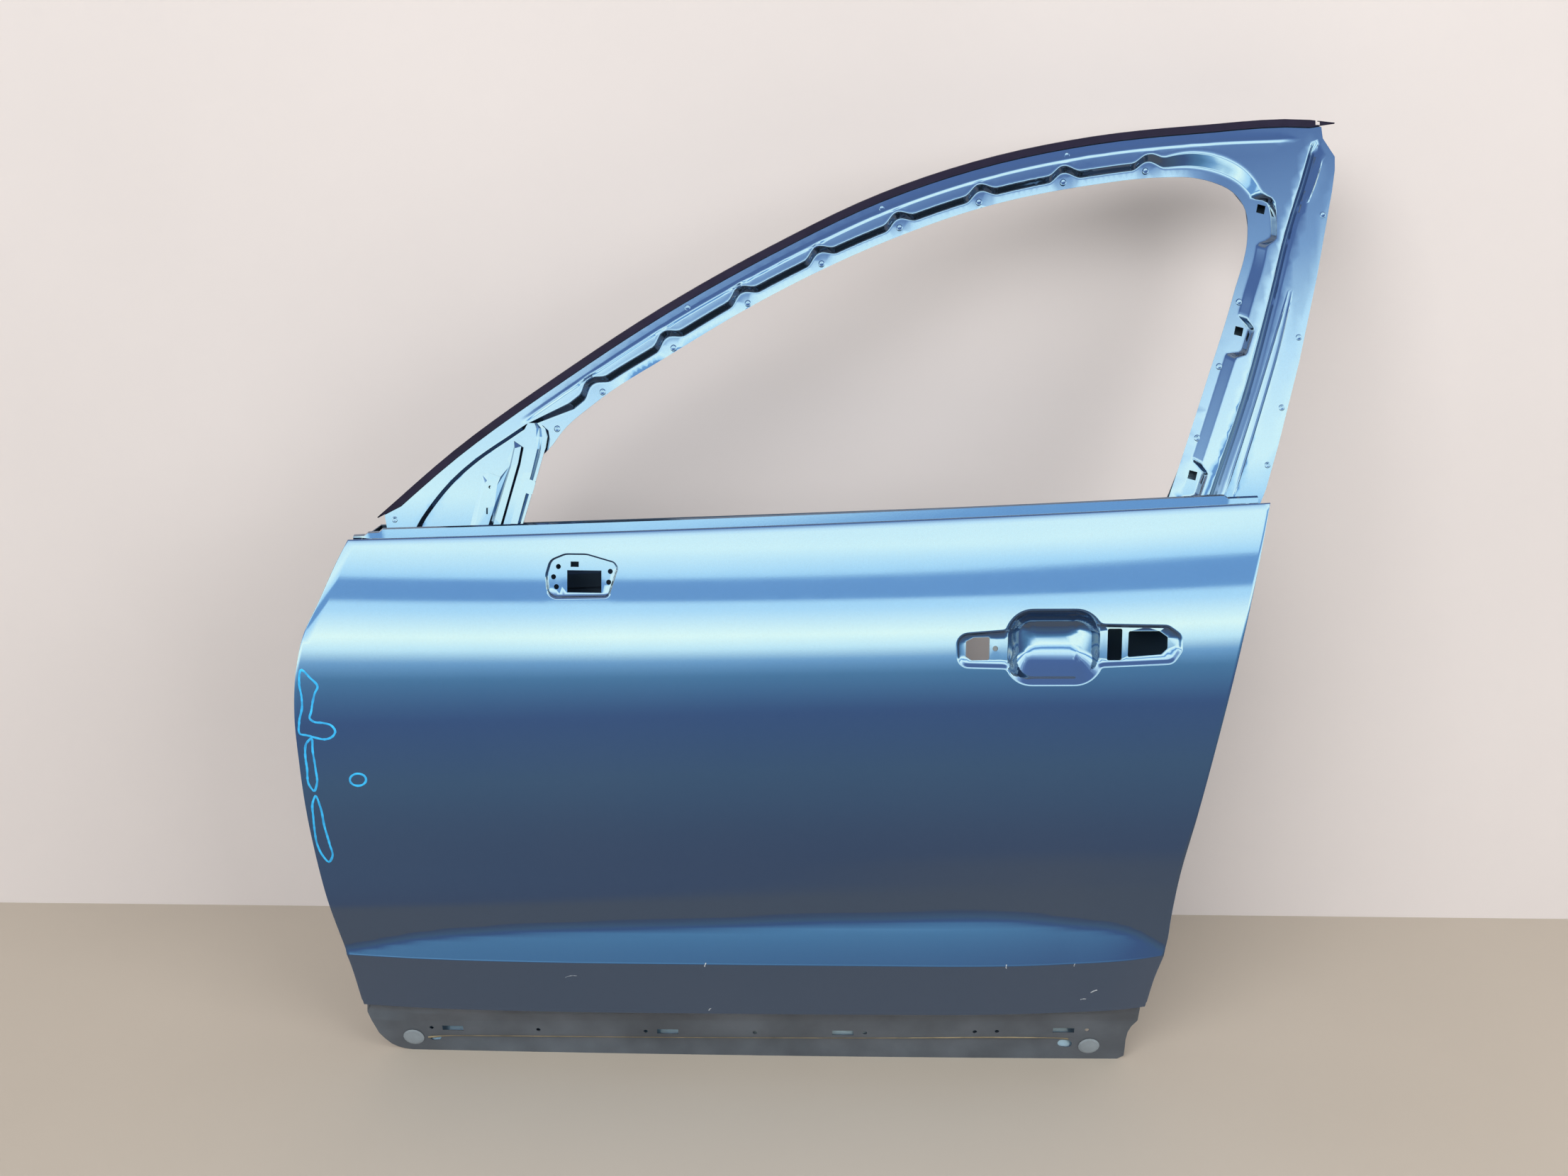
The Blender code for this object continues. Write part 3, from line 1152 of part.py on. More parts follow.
def frame_outline(spacing, inset=0.0):
    """Outline of the window frame, anticlockwise, with the length of its window side."""
    header = offset(flowing(HEADER_EDGE, spacing), -FRAME_EDGE_INSET, False)[::-1]
    header = [point for point in header if -0.515 < point[0] < PILLAR_CHAMFER[-1][0] - 0.004]
    window = window_edge(spacing * 0.6)
    foot_rear = (PILLAR_REAR[0][0] - 0.036, PILLAR_REAR[0][1] - 0.006)
    slope = (WINDOW_REAR[-1][0] - WINDOW_REAR[-2][0]) / (WINDOW_REAR[-1][1] - WINDOW_REAR[-2][1])
    foot_front_x = WINDOW_REAR[-1][0] + slope * (PILLAR_FOOT_LOW - WINDOW_REAR[-1][1])
    foot = [(foot_front_x, PILLAR_FOOT_LOW), (foot_rear[0] - 0.036, PILLAR_FOOT_LOW + 0.004), foot_rear]
    front_foot = [(SAIL_FRONT[-1][0], SAIL_FRONT[-1][1]), (WINDOW_FRONT[0][0], WINDOW_FRONT[0][1])]
    window_side = front_foot[1:] + WINDOW_FRONT[1:] + window
    loop = window_side + foot + PILLAR_REAR + PILLAR_CHAMFER + header + SAIL_FRONT[:-1] + front_foot[:1]
    return loop, window_side


def channel_depth(point, window_side):
    """Depth of the frame's outline: full along the window, none along its outer edge."""
    gap = segment_distances([point], [(window_side, False)])[0]
    return CHANNEL_DEPTH if gap < 0.002 else 0.0


def pillar_hole(height, length=PAD_HOLE):
    """A square hole in a pad of the pillar."""
    edge = window_edge(0.004)
    falling = [point for point in edge if point[1] < PAD_HEIGHTS[0] + 0.03 and point[0] > 0.3]
    x = np.interp(height, [p[1] for p in falling][::-1], [p[0] for p in falling][::-1])
    return turned(box_loop(length, length), (x + 0.0195, height), math.radians(-14))


def make_frame_outer():
    outline, window_side = frame_outline(0.034)
    low, high = channel_lines()
    rim = [lift([point], frame_surface, channel_depth(point, window_side))[0] for point in outline]
    foot_low = [i for i, (_, z) in enumerate(outline) if abs(z - PILLAR_FOOT_LOW) < MERGE]
    rim[foot_low[0] + 1:foot_low[0] + 1] = lift([low[-1]], frame_surface, CHANNEL_DEPTH) \
        + lift([high[-1]], frame_surface)
    front_low = lift([low[0]], frame_surface, CHANNEL_DEPTH)
    front_high = lift([high[0]], frame_surface)
    rim += front_high + front_low
    creases = [(lift(low, frame_surface, CHANNEL_DEPTH), False), (lift(high, frame_surface), False)]
    header = [p for p in flowing(HEADER_EDGE, 0.045) if -0.36 < p[0] < 0.615]
    for distance, rise in ((BEAD_OFFSET - BEAD_HALF, 0.0), (BEAD_OFFSET, -BEAD_RISE), (BEAD_OFFSET + BEAD_HALF, 0.0)):
        creases.append((lift(offset(header, -distance, False), frame_surface, rise), False))
    groove = flowing(PILLAR_GROOVE, 0.060)
    for distance in (-GROOVE_HALF, GROOVE_HALF):
        creases.append((lift(offset(groove, distance, False), frame_surface), False))
    fades = [min(1.0, max(0.0, (groove[0][1] - z) / GROOVE_FADE)) for _, z in groove]
    creases.append(([lift([place], frame_surface, GROOVE_DEPTH * fade)[0]
                     for place, fade in zip(groove, fades)], False))
    holes = [lift(pillar_hole(height), frame_surface, CHANNEL_DEPTH) for height in PAD_HEIGHTS]
    web = [(x, z) for z in SAIL_WEB_ROWS for x in SAIL_WEB_COLUMNS]
    gaps = segment_distances(web, [(low, False), (outline, True)])
    web = [p for p, gap in zip(web, gaps) if gap > 0.010 and inside(p, low + [WINDOW_FRONT[0]])]
    sheet, _ = pressed(rim, creases, holes, lift(web, frame_surface, CHANNEL_DEPTH), frame_surface)
    item = new_part("window_frame_outer", mesh_from(sheet, "window_frame_outer"), BLUE_PAINT)
    thicken(item, SHEET)


def smooth(t):
    t = min(1.0, max(0.0, t))
    return t * t * (3 - 2 * t)


def inner_frame_y(point, window_side, flange):
    """Y of the inner frame: on the outer frame along its flanges, on the inner panel under the belt."""
    x, z = point
    slant = steepness(frame_surface, x, z)
    under_belt = inner_surface(x, z) - LAP - 2 * GAP
    full = frame_surface(x, z) + (FRAME_DEPTH - SHEET) * slant
    over_belt = z - belt_height(x)
    deep = under_belt + (full - under_belt) * smooth(over_belt / 0.030)
    if not flange:
        return deep
    gap = segment_distances([point], [(window_side, False)])[0]
    channel = CHANNEL_DEPTH if gap < FLANGE_WIDTH + 0.003 else 0.0
    welded = frame_surface(x, z) + (LAP + GAP + channel) * slant
    return deep + (welded - deep) * smooth((over_belt - 0.004) / 0.034)


def split_at_belt(loop):
    """The loop with a point added wherever it crosses the belt line."""
    split = []
    for (x0, z0), (x1, z1) in zip(loop, loop[1:] + loop[:1]):
        split.append((x0, z0))
        first, last = z0 - belt_height(x0), z1 - belt_height(x1)
        if first * last < 0 and min(abs(first), abs(last)) > 0.003:
            t = first / (first - last)
            split.append((x0 + (x1 - x0) * t, z0 + (z1 - z0) * t))
    return split


def make_frame_inner():
    outline, window_side = frame_outline(0.045)
    outline = [(x, z) for x, z in outline if not (x < -0.40 and z < 0.71)]
    insets = (0.0012, FLANGE_WIDTH, FLANGE_WIDTH + FLANGE_RISE)
    loops = [split_at_belt(clean_inset(outline, inset)) for inset in insets]
    chains = [[(x, inner_frame_y((x, z), window_side, i < 2), z) for x, z in loop]
              for i, loop in enumerate(loops)]
    sheet, _ = pressed(chains[0], [(chain, True) for chain in chains[1:]], [], [], frame_surface)
    item = new_part("window_frame_inner", mesh_from(sheet, "window_frame_inner"), INNER_BLUE)
    thicken(item, SHEET)


def make_roof_seal_retainer():
    """The dark strip that caps the upper edge of the frame, pointed at both ends."""
    line = flowing(HEADER_EDGE + [(0.6512, 1.1892)], 0.030)
    outwards = []
    for i, _ in enumerate(line):
        from_end = min(i, len(line) - 1 - i)
        outwards.append(RETAINER_WIDTH * min(1.0, 0.15 + 0.85 * from_end))
    inner_edge = offset(line, [-width for width in outwards], False)
    rows = [lift(inner_edge, frame_surface, -0.0016), lift(line, frame_surface, -0.0026),
            lift(line, frame_surface, 0.0065)]
    sheet = strip(rows)
    item = new_part("roof_seal_retainer", mesh_from(sheet, "roof_seal_retainer"), DARK_STRIP)
    thicken(item, SHEET)
    notch_x = 0.6300
    notch = add_box("retainer_notch", (0.0055, 0.040, 0.0100),
                    Matrix.Translation((notch_x, frame_surface(notch_x, 1.190), 1.1915)))
    combine(item, notch, "DIFFERENCE")


# Belt line

def swept(name, xs, profile, look, thickness=SHEET):
    """A folded strip along the door: profile gives the (y, z) points of one section."""
    rows = []
    for x in xs:
        rows.append([(x, y, z) for y, z in profile(x)])
    sheet = strip(rows)
    item = new_part(name, mesh_from(sheet, name), look)
    thicken(item, thickness)
    return item


def belt_outer_profile(x):
    """Section of the outer strip: bonded behind the hem, then up as the flange beside the glass."""
    belt = belt_height(x)
    low, shoulder = belt - BELT_STRIP_DROP, belt - HEM_LEAF - 0.003
    bonded = lift([(x, low), (x, shoulder)], skin_surface, HEM_DEPTH + GAP)
    upright = lift([(x, belt)], skin_surface, HEM_DEPTH)[0][1] + BELT_STRIP_GAP
    return [(bonded[0][1], low), (bonded[1][1], shoulder), (upright, belt - 0.002),
            (upright, belt + BELT_STRIP_RISE), (upright + BELT_STRIP_LIP, belt + BELT_STRIP_RISE + 0.0012)]


def belt_inner_profile(x):
    """Section of the inner strip: a hat against the cavity side of the inner panel."""
    top = belt_height(x) - 0.010
    levels = [(0.0, top - 0.036), (0.0, top - 0.030), (0.012, top - 0.025), (0.012, top - 0.012),
              (0.0, top - 0.007), (0.0, top)]
    return [(inner_surface(x, z) - LAP - out, z) for out, z in levels]


def make_belt_line():
    xs = [x for x in skin_columns()[::-1] if x > BELT_STRIP_START + 0.010] + [BELT_STRIP_START]
    swept("belt_reinforcement_outer", xs, belt_outer_profile, BLUE_PAINT)
    swept("belt_reinforcement_inner", even(0.395, -0.330, 8), belt_inner_profile, INNER_BLUE)


# Window channels, clip and sail bracket

def make_division_channel():
    """The glass channel in front of the window: a grooved face between two legs, with a flat head."""
    rows = []
    for i, (z, left, right) in enumerate(CHANNEL_EDGES):
        leg = GAP if i < CHANNEL_HEAD_ROWS else CHANNEL_LEG + CHANNEL_OUT
        section = [(0.0, leg - CHANNEL_OUT), (0.0, -CHANNEL_OUT)]
        section += [(across, depth - CHANNEL_OUT) for across, depth in CHANNEL_GROOVE]
        section += [(1.0, -CHANNEL_OUT), (1.0, 0.6 * leg - CHANNEL_OUT)]
        rows.append([lift([(left + (right - left) * across, z)], frame_surface, depth)[0]
                     for across, depth in section])
    item = new_part("division_channel", mesh_from(strip(rows[::-1]), "division_channel"), BLUE_PAINT)
    thicken(item, SHEET)


def make_channel_clip():
    slope = math.atan2(CHANNEL_EDGES[3][2] - CHANNEL_EDGES[5][2], CHANNEL_EDGES[3][0] - CHANNEL_EDGES[5][0])
    loop = turned(rounded(box_loop(*CLIP_SIZE), 0.0015, 1), CLIP_CENTRE, -slope)
    sheet, _ = pressed(lift(loop, frame_surface, -CHANNEL_OUT - LAP), [], [], [], frame_surface)
    item = new_part("channel_clip", mesh_from(sheet, "channel_clip"), BLUE_PAINT)
    thicken(item, SHEET)


def make_sail_bracket():
    """The bracket in the sail: a raised bar along the channel with a pad in front of it."""
    base = CHANNEL_DEPTH - LAP
    outline = [(-0.4150, 0.700), (-0.3790, 0.700), (-0.3710, 0.7235), (-0.3500, 0.7950), (-0.3462, 0.8144),
               (-0.3560, 0.8195), (-0.3640, 0.7990), (-0.3720, 0.7780), (-0.3868, 0.7828), (-0.3945, 0.7790)]
    heights = [base, base - 0.006, base - 0.006, base - 0.006, base - 0.006, base - 0.001, base - 0.001,
               base - 0.003, base - 0.003, base]
    rim = [(x, frame_surface(x, z) + depth, z) for (x, z), depth in zip(outline, heights)]
    bar = [(-0.3860, 0.704), (-0.3780, 0.7300), (-0.3590, 0.7900), (-0.3540, 0.8120)]
    pad = rounded([(-0.4070, 0.706), (-0.3920, 0.706), (-0.3790, 0.7450), (-0.3760, 0.7700), (-0.3870, 0.7750),
                   (-0.3910, 0.7710)], 0.003, 1)
    creases = [(lift(bar, frame_surface, base - 0.006), False),
               (lift(offset(bar, 0.0022, False), frame_surface, base - 0.001), False),
               (lift(pad, frame_surface, base - 0.003), True)]
    hole = lift(circle((-0.3850, 0.7660), 0.0020, 6), frame_surface, base - 0.003)
    slot = lift(turned(box_loop(0.0030, 0.0075), (-0.3880, 0.7380), 0), frame_surface, base - 0.003)
    sheet, _ = pressed(rim, creases, [hole, slot], [], frame_surface)
    item = new_part("sail_bracket", mesh_from(sheet, "sail_bracket"), BLUE_PAINT)
    thicken(item, SHEET)


# Plates behind the recesses

def make_recess_plates():
    behind = LAP + GAP + MIRROR_DEPTH
    outline = offset(rounded(MIRROR_OUTLINE, MIRROR_RADII), -MIRROR_PLATE_MARGIN, True)
    holes = [lift(loop, skin_surface, behind) for loop in mirror_holes(0.0010)]
    sheet, _ = pressed(lift(outline, skin_surface, behind), [], holes, [], skin_surface)
    item = new_part("mirror_reinforcement", mesh_from(sheet, "mirror_reinforcement"), PRIMER_GREY)
    thicken(item, PLATE)
    behind = LAP + GAP + HANDLE_RECESS_DEPTH
    corners = [(-0.128, -0.034), (-0.040, -0.060), (0.050, -0.060), (0.140, -0.038), (0.168, -0.018),
               (0.168, 0.020), (0.140, 0.038), (0.050, 0.060), (-0.040, 0.060), (-0.128, 0.030)]
    outline = turned(rounded(corners, 0.012, 2), HANDLE_CENTRE, 0)
    cup = turned(rounded(box_loop(CUP_WIDTH - 0.002, CUP_HEIGHT - 0.002), CUP_RADIUS, 5), HANDLE_CENTRE, 0)
    holes = [lift(cup, skin_surface, behind)]
    holes += [lift(loop, skin_surface, behind) for loop in handle_holes(0.0010)[:3]]
    sheet, _ = pressed(lift(outline, skin_surface, behind), [], holes, [], skin_surface)
    item = new_part("handle_reinforcement", mesh_from(sheet, "handle_reinforcement"), PRIMER_GREY)
    thicken(item, PLATE * 0.6)


# Impact beam and damping

def beam_ends():
    """Both ends of the beam's axis, clear of the skin and of the walls."""
    ends = []
    for wall, z, side in ((front_wall_x, BEAM_FRONT_Z, 1), (rear_wall_x, BEAM_REAR_Z, -1)):
        x = wall(-0.040, z) + side * BEAM_END_GAP
        y = skin_surface(x, z) + SHEET + BEAM_SKIN_GAP + BEAM_RADIUS
        ends.append(Vector((x, y, z)))
    return ends


def make_impact_beam():
    front, rear = beam_ends()
    length = (rear - front).length
    profile = [(BEAM_RADIUS, length), (BEAM_RADIUS, 0.0), (BEAM_RADIUS - BEAM_WALL, 0.0),
               (BEAM_RADIUS - BEAM_WALL, length)]
    beam = turned_part("impact_beam", profile, STEEL, 20, ring=True)
    aim(beam, front, rear - front)


def make_beam_brackets():
    """Half-round saddles that hold the beam's ends, each with a rim on the wall of the tray."""
    front, rear = beam_ends()
    axis = (rear - front).normalized()
    up = axis.cross(Vector((0, 1, 0))).normalized()
    if up.z < 0:
        up = -up
    inwards = up.cross(axis)
    if inwards.y < 0:
        inwards = -inwards
    for name, end, wall, side in (("front", front, front_wall_x, 1), ("rear", rear, rear_wall_x, -1)):
        rows = []
        turns = even(-math.pi / 2, math.pi / 2, BRACKET_SIDES)
        radius = (BEAM_RADIUS + GAP) / math.cos(math.pi / 2 / BRACKET_SIDES)
        for along in (BEAM_BRACKET_LENGTH, 0.004, -0.010):
            centre = end + axis * along * side
            rows.append([centre + (inwards * math.cos(a) + up * math.sin(a)) * radius for a in turns])
        wide = []
        for a in turns:
            spot = end + (inwards * math.cos(a) + up * math.sin(a)) * (radius + BEAM_BRACKET_FLANGE)
            wide.append(Vector((wall(spot.y, spot.z) + side * BRACKET_GAP, spot.y, spot.z)))
        rows.append(wide)
        if side < 0:
            rows = [row[::-1] for row in rows]
        sheet = strip(rows)
        item = new_part("impact_beam_bracket_" + name, mesh_from(sheet, "impact_beam_bracket_" + name), PRIMER_GREY)
        thicken(item, SHEET)


def make_mastic():
    """Soft pads between the beam and the skin."""
    front, rear = beam_ends()
    for name, fraction in MASTIC_FRACTIONS.items():
        centre = front + (rear - front) * fraction
        normal = surface_normal(skin_surface, centre.x, centre.z)
        reach = (centre.y - skin_surface(centre.x, centre.z)) * -normal.y
        length = reach - BEAM_RADIUS - SHEET - 2 * MASTIC_GAP
        bpy.ops.mesh.primitive_cylinder_add(vertices=14, radius=MASTIC_RADIUS, depth=length)
        pad = bpy.context.object
        pad.name = "beam_mastic_" + name
        aim(pad, centre + normal * (BEAM_RADIUS + MASTIC_GAP + length / 2), normal)
        keep(pad, MASTIC)


def make_damping_sheet():
    loop = rounded(turned(box_loop(*DAMPING_SIZE), DAMPING_CENTRE, math.radians(1.0)), 0.012, 2)
    (x, z), (width, height) = DAMPING_CENTRE, DAMPING_SIZE
    points = [(px, z + height * t) for px in even(x - 0.38 * width, x + 0.38 * width, 5) for t in (-0.26, 0, 0.26)]
    sheet, _ = pressed(lift(loop, skin_surface, LAP + GAP), [], [], lift(points, skin_surface, LAP + GAP),
                       skin_surface)
    item = new_part("damping_sheet", mesh_from(sheet, "damping_sheet"), MASTIC)
    thicken(item, DAMPING_THICKNESS)


def stand_on_origin():
    """Move the door so that its origin is the middle of its lowest side."""
    bpy.context.view_layer.update()
    state = bpy.context.evaluated_depsgraph_get()
    corners = []
    for item in PARTS.objects:
        if item.type == "MESH":
            shape = item.evaluated_get(state)
            corners += [shape.matrix_world @ vert.co for vert in shape.data.vertices]
    low = Vector([min(corner[i] for corner in corners) for i in range(3)])
    high = Vector([max(corner[i] for corner in corners) for i in range(3)])
    ROOT.location = (-(low.x + high.x) / 2, -(low.y + high.y) / 2, -low.z)


def main():
    make_outer_skin()
    make_sill_strip()
    make_plugs()
    panel = make_inner_panel()
    make_hinge_area(panel)
    make_check_strap_area(panel)
    make_latch_area(panel)
    make_drain_holes(panel)
    make_frame_outer()
    make_frame_inner()
    make_roof_seal_retainer()
    make_belt_line()
    make_division_channel()
    make_channel_clip()
    make_sail_bracket()
    make_recess_plates()
    make_impact_beam()
    make_beam_brackets()
    make_mastic()
    make_damping_sheet()
    stand_on_origin()


main()
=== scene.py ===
"""Looks of the car door shell: finer pressings, metallic paint, marks, and a plain pale studio.

Plans are drawn in the door's own frame, +X to the rear, +Y into the car and +Z up, in metres.
"""
import math

import bmesh
import bpy
import numpy as np
from mathutils import Matrix, Vector
from mathutils.geometry import delaunay_2d_cdt


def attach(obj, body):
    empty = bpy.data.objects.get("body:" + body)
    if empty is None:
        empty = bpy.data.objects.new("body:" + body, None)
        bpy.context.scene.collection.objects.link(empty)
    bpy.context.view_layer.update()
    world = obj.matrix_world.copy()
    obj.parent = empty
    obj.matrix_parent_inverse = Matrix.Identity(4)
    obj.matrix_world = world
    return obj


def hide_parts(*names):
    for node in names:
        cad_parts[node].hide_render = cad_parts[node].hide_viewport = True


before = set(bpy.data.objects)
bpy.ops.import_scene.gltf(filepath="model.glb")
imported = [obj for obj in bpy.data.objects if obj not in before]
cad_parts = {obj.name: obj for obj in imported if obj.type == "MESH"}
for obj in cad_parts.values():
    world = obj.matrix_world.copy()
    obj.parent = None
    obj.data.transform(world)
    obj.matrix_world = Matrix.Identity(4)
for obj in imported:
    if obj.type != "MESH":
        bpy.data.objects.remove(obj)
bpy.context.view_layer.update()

# From the door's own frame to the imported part's frame
SHIFT = Vector((-0.0143127, -0.0982483, 0.0))

# Camera
PHOTO_SIZE = (2212, 1659)
FOCAL_PIXELS = 2171
SENSOR = 36.0
CAMERA_PLACE = Vector((-0.0023, -1.8652, 1.2195))
CAMERA_TILT = math.radians(72.3)
CAMERA_TURN = math.radians(1.2)

# Pressed skin
SHEET = 0.0010
LAP = 0.0013
LAP_PROBE = 0.010
BELT_LINE = [(-0.550, 0.712), (0.5535, 0.7595)]
SKIN_BOTTOM = [(-0.580, 0.078), (-0.304, 0.086), (-0.030, 0.092), (0.444, 0.0965)]
CREASE_LINE = [(-0.589, 0.165), (-0.390, 0.170), (-0.030, 0.177), (0.355, 0.180), (0.458, 0.183)]
FLARE_HEIGHT = [(-0.589, 0.010), (-0.481, 0.036), (-0.407, 0.045), (-0.123, 0.060), (0.060, 0.068),
                (0.326, 0.062), (0.430, 0.034), (0.458, 0.012)]
FRONT_EDGE = [(0.078, -0.580), (0.165, -0.589), (0.190, -0.594), (0.247, -0.605), (0.340, -0.616),
              (0.440, -0.6215), (0.505, -0.6225), (0.560, -0.6165), (0.600, -0.606), (0.640, -0.586),
              (0.690, -0.562), (0.712, -0.550)]
REAR_EDGE = [(0.0965, 0.444), (0.148, 0.4505), (0.183, 0.458), (0.204, 0.461), (0.233, 0.4620),
             (0.294, 0.4675), (0.380, 0.482), (0.490, 0.5015), (0.600, 0.5225), (0.695, 0.541),
             (0.7595, 0.5535)]
SKIN_SECTION = [(0.060, -0.030), (0.100, -0.0355), (0.165, -0.0445), (0.235, -0.0527), (0.300, -0.0565),
                (0.400, -0.060), (0.450, -0.0587), (0.500, -0.0554), (0.550, -0.050), (0.600, -0.0418),
                (0.650, -0.0305), (0.700, -0.0160), (0.770, 0.0080)]
FLARE_SLOPE = 0.34
FLARE_BEND = 0.25
UNDER_CREASE_SLOPE = 0.24
CREASE_RADIUS = 0.0012
SKIN_CROWN = 0.018
CROWN_REACH = 0.62
HEM_DEPTH = 0.0042
HEM_LEAF = 0.010
HEM_RELIEF = 0.022
HEM_TURN = 0.0013
HEM_PROFILE = [(0.0004, 0.0003), (0.0, 0.0010), (0.0, HEM_DEPTH - 0.0010), (0.0004, HEM_DEPTH - 0.0003),
               (HEM_TURN, HEM_DEPTH), (HEM_LEAF, HEM_DEPTH)]
SKIN_COLUMNS = 132
SKIN_ROWS_LOW = 10
SKIN_ROWS_HIGH = 72
SKIN_INSET = 0.004
SKIN_GAP = 0.0024
CREASE_LINES = (-2.0, -1.0, -0.5, 0.0, 0.5, 1.0, 2.0)

# Door handle recess, from its centre
HANDLE_CENTRE = (0.2973, 0.5953)
CUP_SIZE = (0.1157, 0.0878)
CUP_RADIUS = 0.032
LEFT_WING = [(-0.020, 0.0225), (-0.1160, 0.0150), (-0.1135, -0.0222), (-0.020, -0.0245)]
LEFT_WING_RADII = [0.001, 0.0130, 0.0130, 0.001]
RIGHT_WING = [(0.020, -0.0235), (0.1420, -0.0185), (0.1515, -0.0040), (0.1510, 0.0135), (0.1350, 0.0245),
              (0.020, 0.0270)]
RIGHT_WING_RADII = [0.001, 0.0100, 0.0100, 0.0100, 0.0110, 0.001]
RECESS_WALL = 0.0034
RECESS_ROLL = 0.0012
RECESS_DEPTH = 0.0038
RECESS_REACH = 0.20
LIP_STEP = 0.0022
LIP_EASING = 4
LIP_RINGS = [-0.0040, -0.0024, -RECESS_ROLL, -0.0003, 0.0007, 0.0017, RECESS_WALL]
BOWL = [(0.0, 0.0), (0.0034, 0.0044), (0.0090, 0.0122), (0.0150, 0.0184), (0.0250, 0.0250), (0.0440, 0.0278)]
BOWL_RINGS = [0.0040, 0.0048, 0.0060, 0.0075, 0.0092, 0.0112, 0.0135, 0.0162, 0.0195, 0.0235]
MOUTH_INSET = 0.0028
MOUTH_GAP = 0.0050
LEFT_HOLE = [(-0.1048, -0.0117), (-0.0978, -0.0162), (-0.0766, -0.0157), (-0.0766, 0.0114),
             (-0.0957, 0.0109), (-0.1048, 0.0063)]
MIDDLE_HOLE = [(0.0640, -0.0165), (0.0814, -0.0165), (0.0814, 0.0210), (0.0640, 0.0210)]
RIGHT_HOLE = [(0.0885, -0.0127), (0.1288, -0.0097), (0.1360, -0.0027), (0.1358, 0.0108),
              (0.1257, 0.0180), (0.0890, 0.0180)]
HOLE_ROUNDING = 0.0022
ROUND_HOLE = (-0.0696, -0.0022)
ROUND_HOLE_RADIUS = 0.0032

# Mirror bracket recess
MIRROR_OUTLINE = [(-0.3065, 0.6490), (-0.2340, 0.6510), (-0.2225, 0.6850), (-0.2270, 0.6915),
                  (-0.2600, 0.7003), (-0.2860, 0.7003), (-0.3040, 0.6930), (-0.3092, 0.6760)]
MIRROR_RADII = [0.012, 0.007, 0.006, 0.008, 0.030, 0.020, 0.012, 0.016]
MIRROR_DEPTH = 0.0040
MIRROR_WALL = 0.0022
MIRROR_ROLL = 0.0008
MIRROR_REACH = 0.08
MIRROR_STEP = 0.0025
MIRROR_RINGS = [-0.0030, -0.0018, -MIRROR_ROLL, 0.0, 0.0008, 0.0015, MIRROR_WALL]
MIRROR_SLOT = (-0.2633, 0.6678, 0.0412, 0.0256)
MIRROR_SQUARE = (-0.2749, 0.6875, 0.0098, 0.0062)
MIRROR_HOLES = [(-0.2945, 0.6846), (-0.3003, 0.6728), (-0.2968, 0.6614), (-0.2321, 0.6798),
                (-0.2340, 0.6674)]
MIRROR_HOLE_RADIUS = 0.0030

# Belt strip, with its rise above the belt line
STRIP_RISE = [(-0.546, 0.0012), (-0.531, 0.0015), (-0.530, 0.0045), (-0.511, 0.0048), (-0.510, 0.0085),
              (0.500, 0.0085), (0.502, 0.0050), (0.541, 0.0045)]
STRIP_COLUMNS = 240
STRIP_GLUE = 0.0003
STRIP_DROP = 0.020
STRIP_SHOULDER = 0.003
STRIP_FOOT = 0.002
STRIP_GAP = 0.0050
STRIP_LEAN = 0.34
STRIP_LIP = 0.0060
STRIP_LIP_RISE = 0.0012

# Sill strip
SILL_FRONT = [(-0.524, 0.0), (-0.535, 0.002), (-0.543, 0.005), (-0.551, 0.010), (-0.559, 0.020),
              (-0.5655, 0.030), (-0.569, 0.040), (-0.573, 0.050), (-0.5775, 0.064)]
SILL_REAR = [(0.418, 0.0), (0.4262, 0.006), (0.4260, 0.020), (0.4254, 0.036), (0.4266, 0.050),
             (0.4300, 0.060), (0.4370, 0.071)]
SILL_SLOPE = 0.26
SILL_CROWN = 0.006
STEP_TOP = [(-0.470, 0.0285), (0.330, 0.0390)]
STEP_HEIGHT = 0.0045
STEP_DEPTH = 0.0045
STEP_FADE = 0.030
SILL_UNDER = 0.010
SILL_SHOULDER = 0.026
SILL_SHELF = 0.012
SILL_SHELF_DEPTH = 0.0060
SILL_TUCK = (-0.0030, 0.0005)
SILL_TUCK_GAPS = (0.0060, 0.0050, 0.0040, 0.0004)
SILL_LAP = 0.010
SILL_LAP_INSET = 0.004
SILL_PAST_LAP = 0.006
SILL_ROLL = 0.0011
SILL_BEND = 0.0014
SILL_GAP = 0.0012
SILL_EDGE_STEPS = 90
SILL_LAP_STEPS = 96
SILL_SPAN = (-0.572, 0.432, 190)
SILL_LOW_ROWS = [0.004, 0.009, 0.014]
SILL_STEP_ROWS = [0.006, 0.012]
SILL_TUCK_ROWS = [SILL_TUCK[0], -0.0012, SILL_TUCK[1], 0.003]
SILL_HOLE_LINE = [(-0.500, 0.0415), (-0.200, 0.0420), (0.070, 0.0440), (0.250, 0.0490), (0.375, 0.0530)]
SILL_SMALL_HOLES = [-0.4931, -0.3505, -0.2077, -0.0632, 0.0818, 0.2262, 0.2550, 0.3728]
SILL_SLOTS = [-0.4648, -0.1786, 0.0528, 0.3423]
SILL_SLOT_SIZE = (0.0280, 0.0085)
SILL_SMALL_RADIUS = 0.0029
SILL_OVALS = {(-0.4904, 0.0225): (0.0147, 0.0096), (0.3464, 0.0265): (0.0185, 0.0125)}
OVAL_ROUNDING = 0.49
PLUG_PLACES = [(-0.5190, 0.0245), (0.3780, 0.0245)]
PLUG_HOLE_RADIUS = 0.0095
SEALER_LINE = [(-0.500, 0.0235), (-0.470, 0.0252), (-0.200, 0.0290), (0.070, 0.0330), (0.325, 0.0368),
               (0.350, 0.0355)]
SEALER_BEAD = (0.0034, 0.0009, 0.0004)
SEALER_UNEVENNESS = 0.25

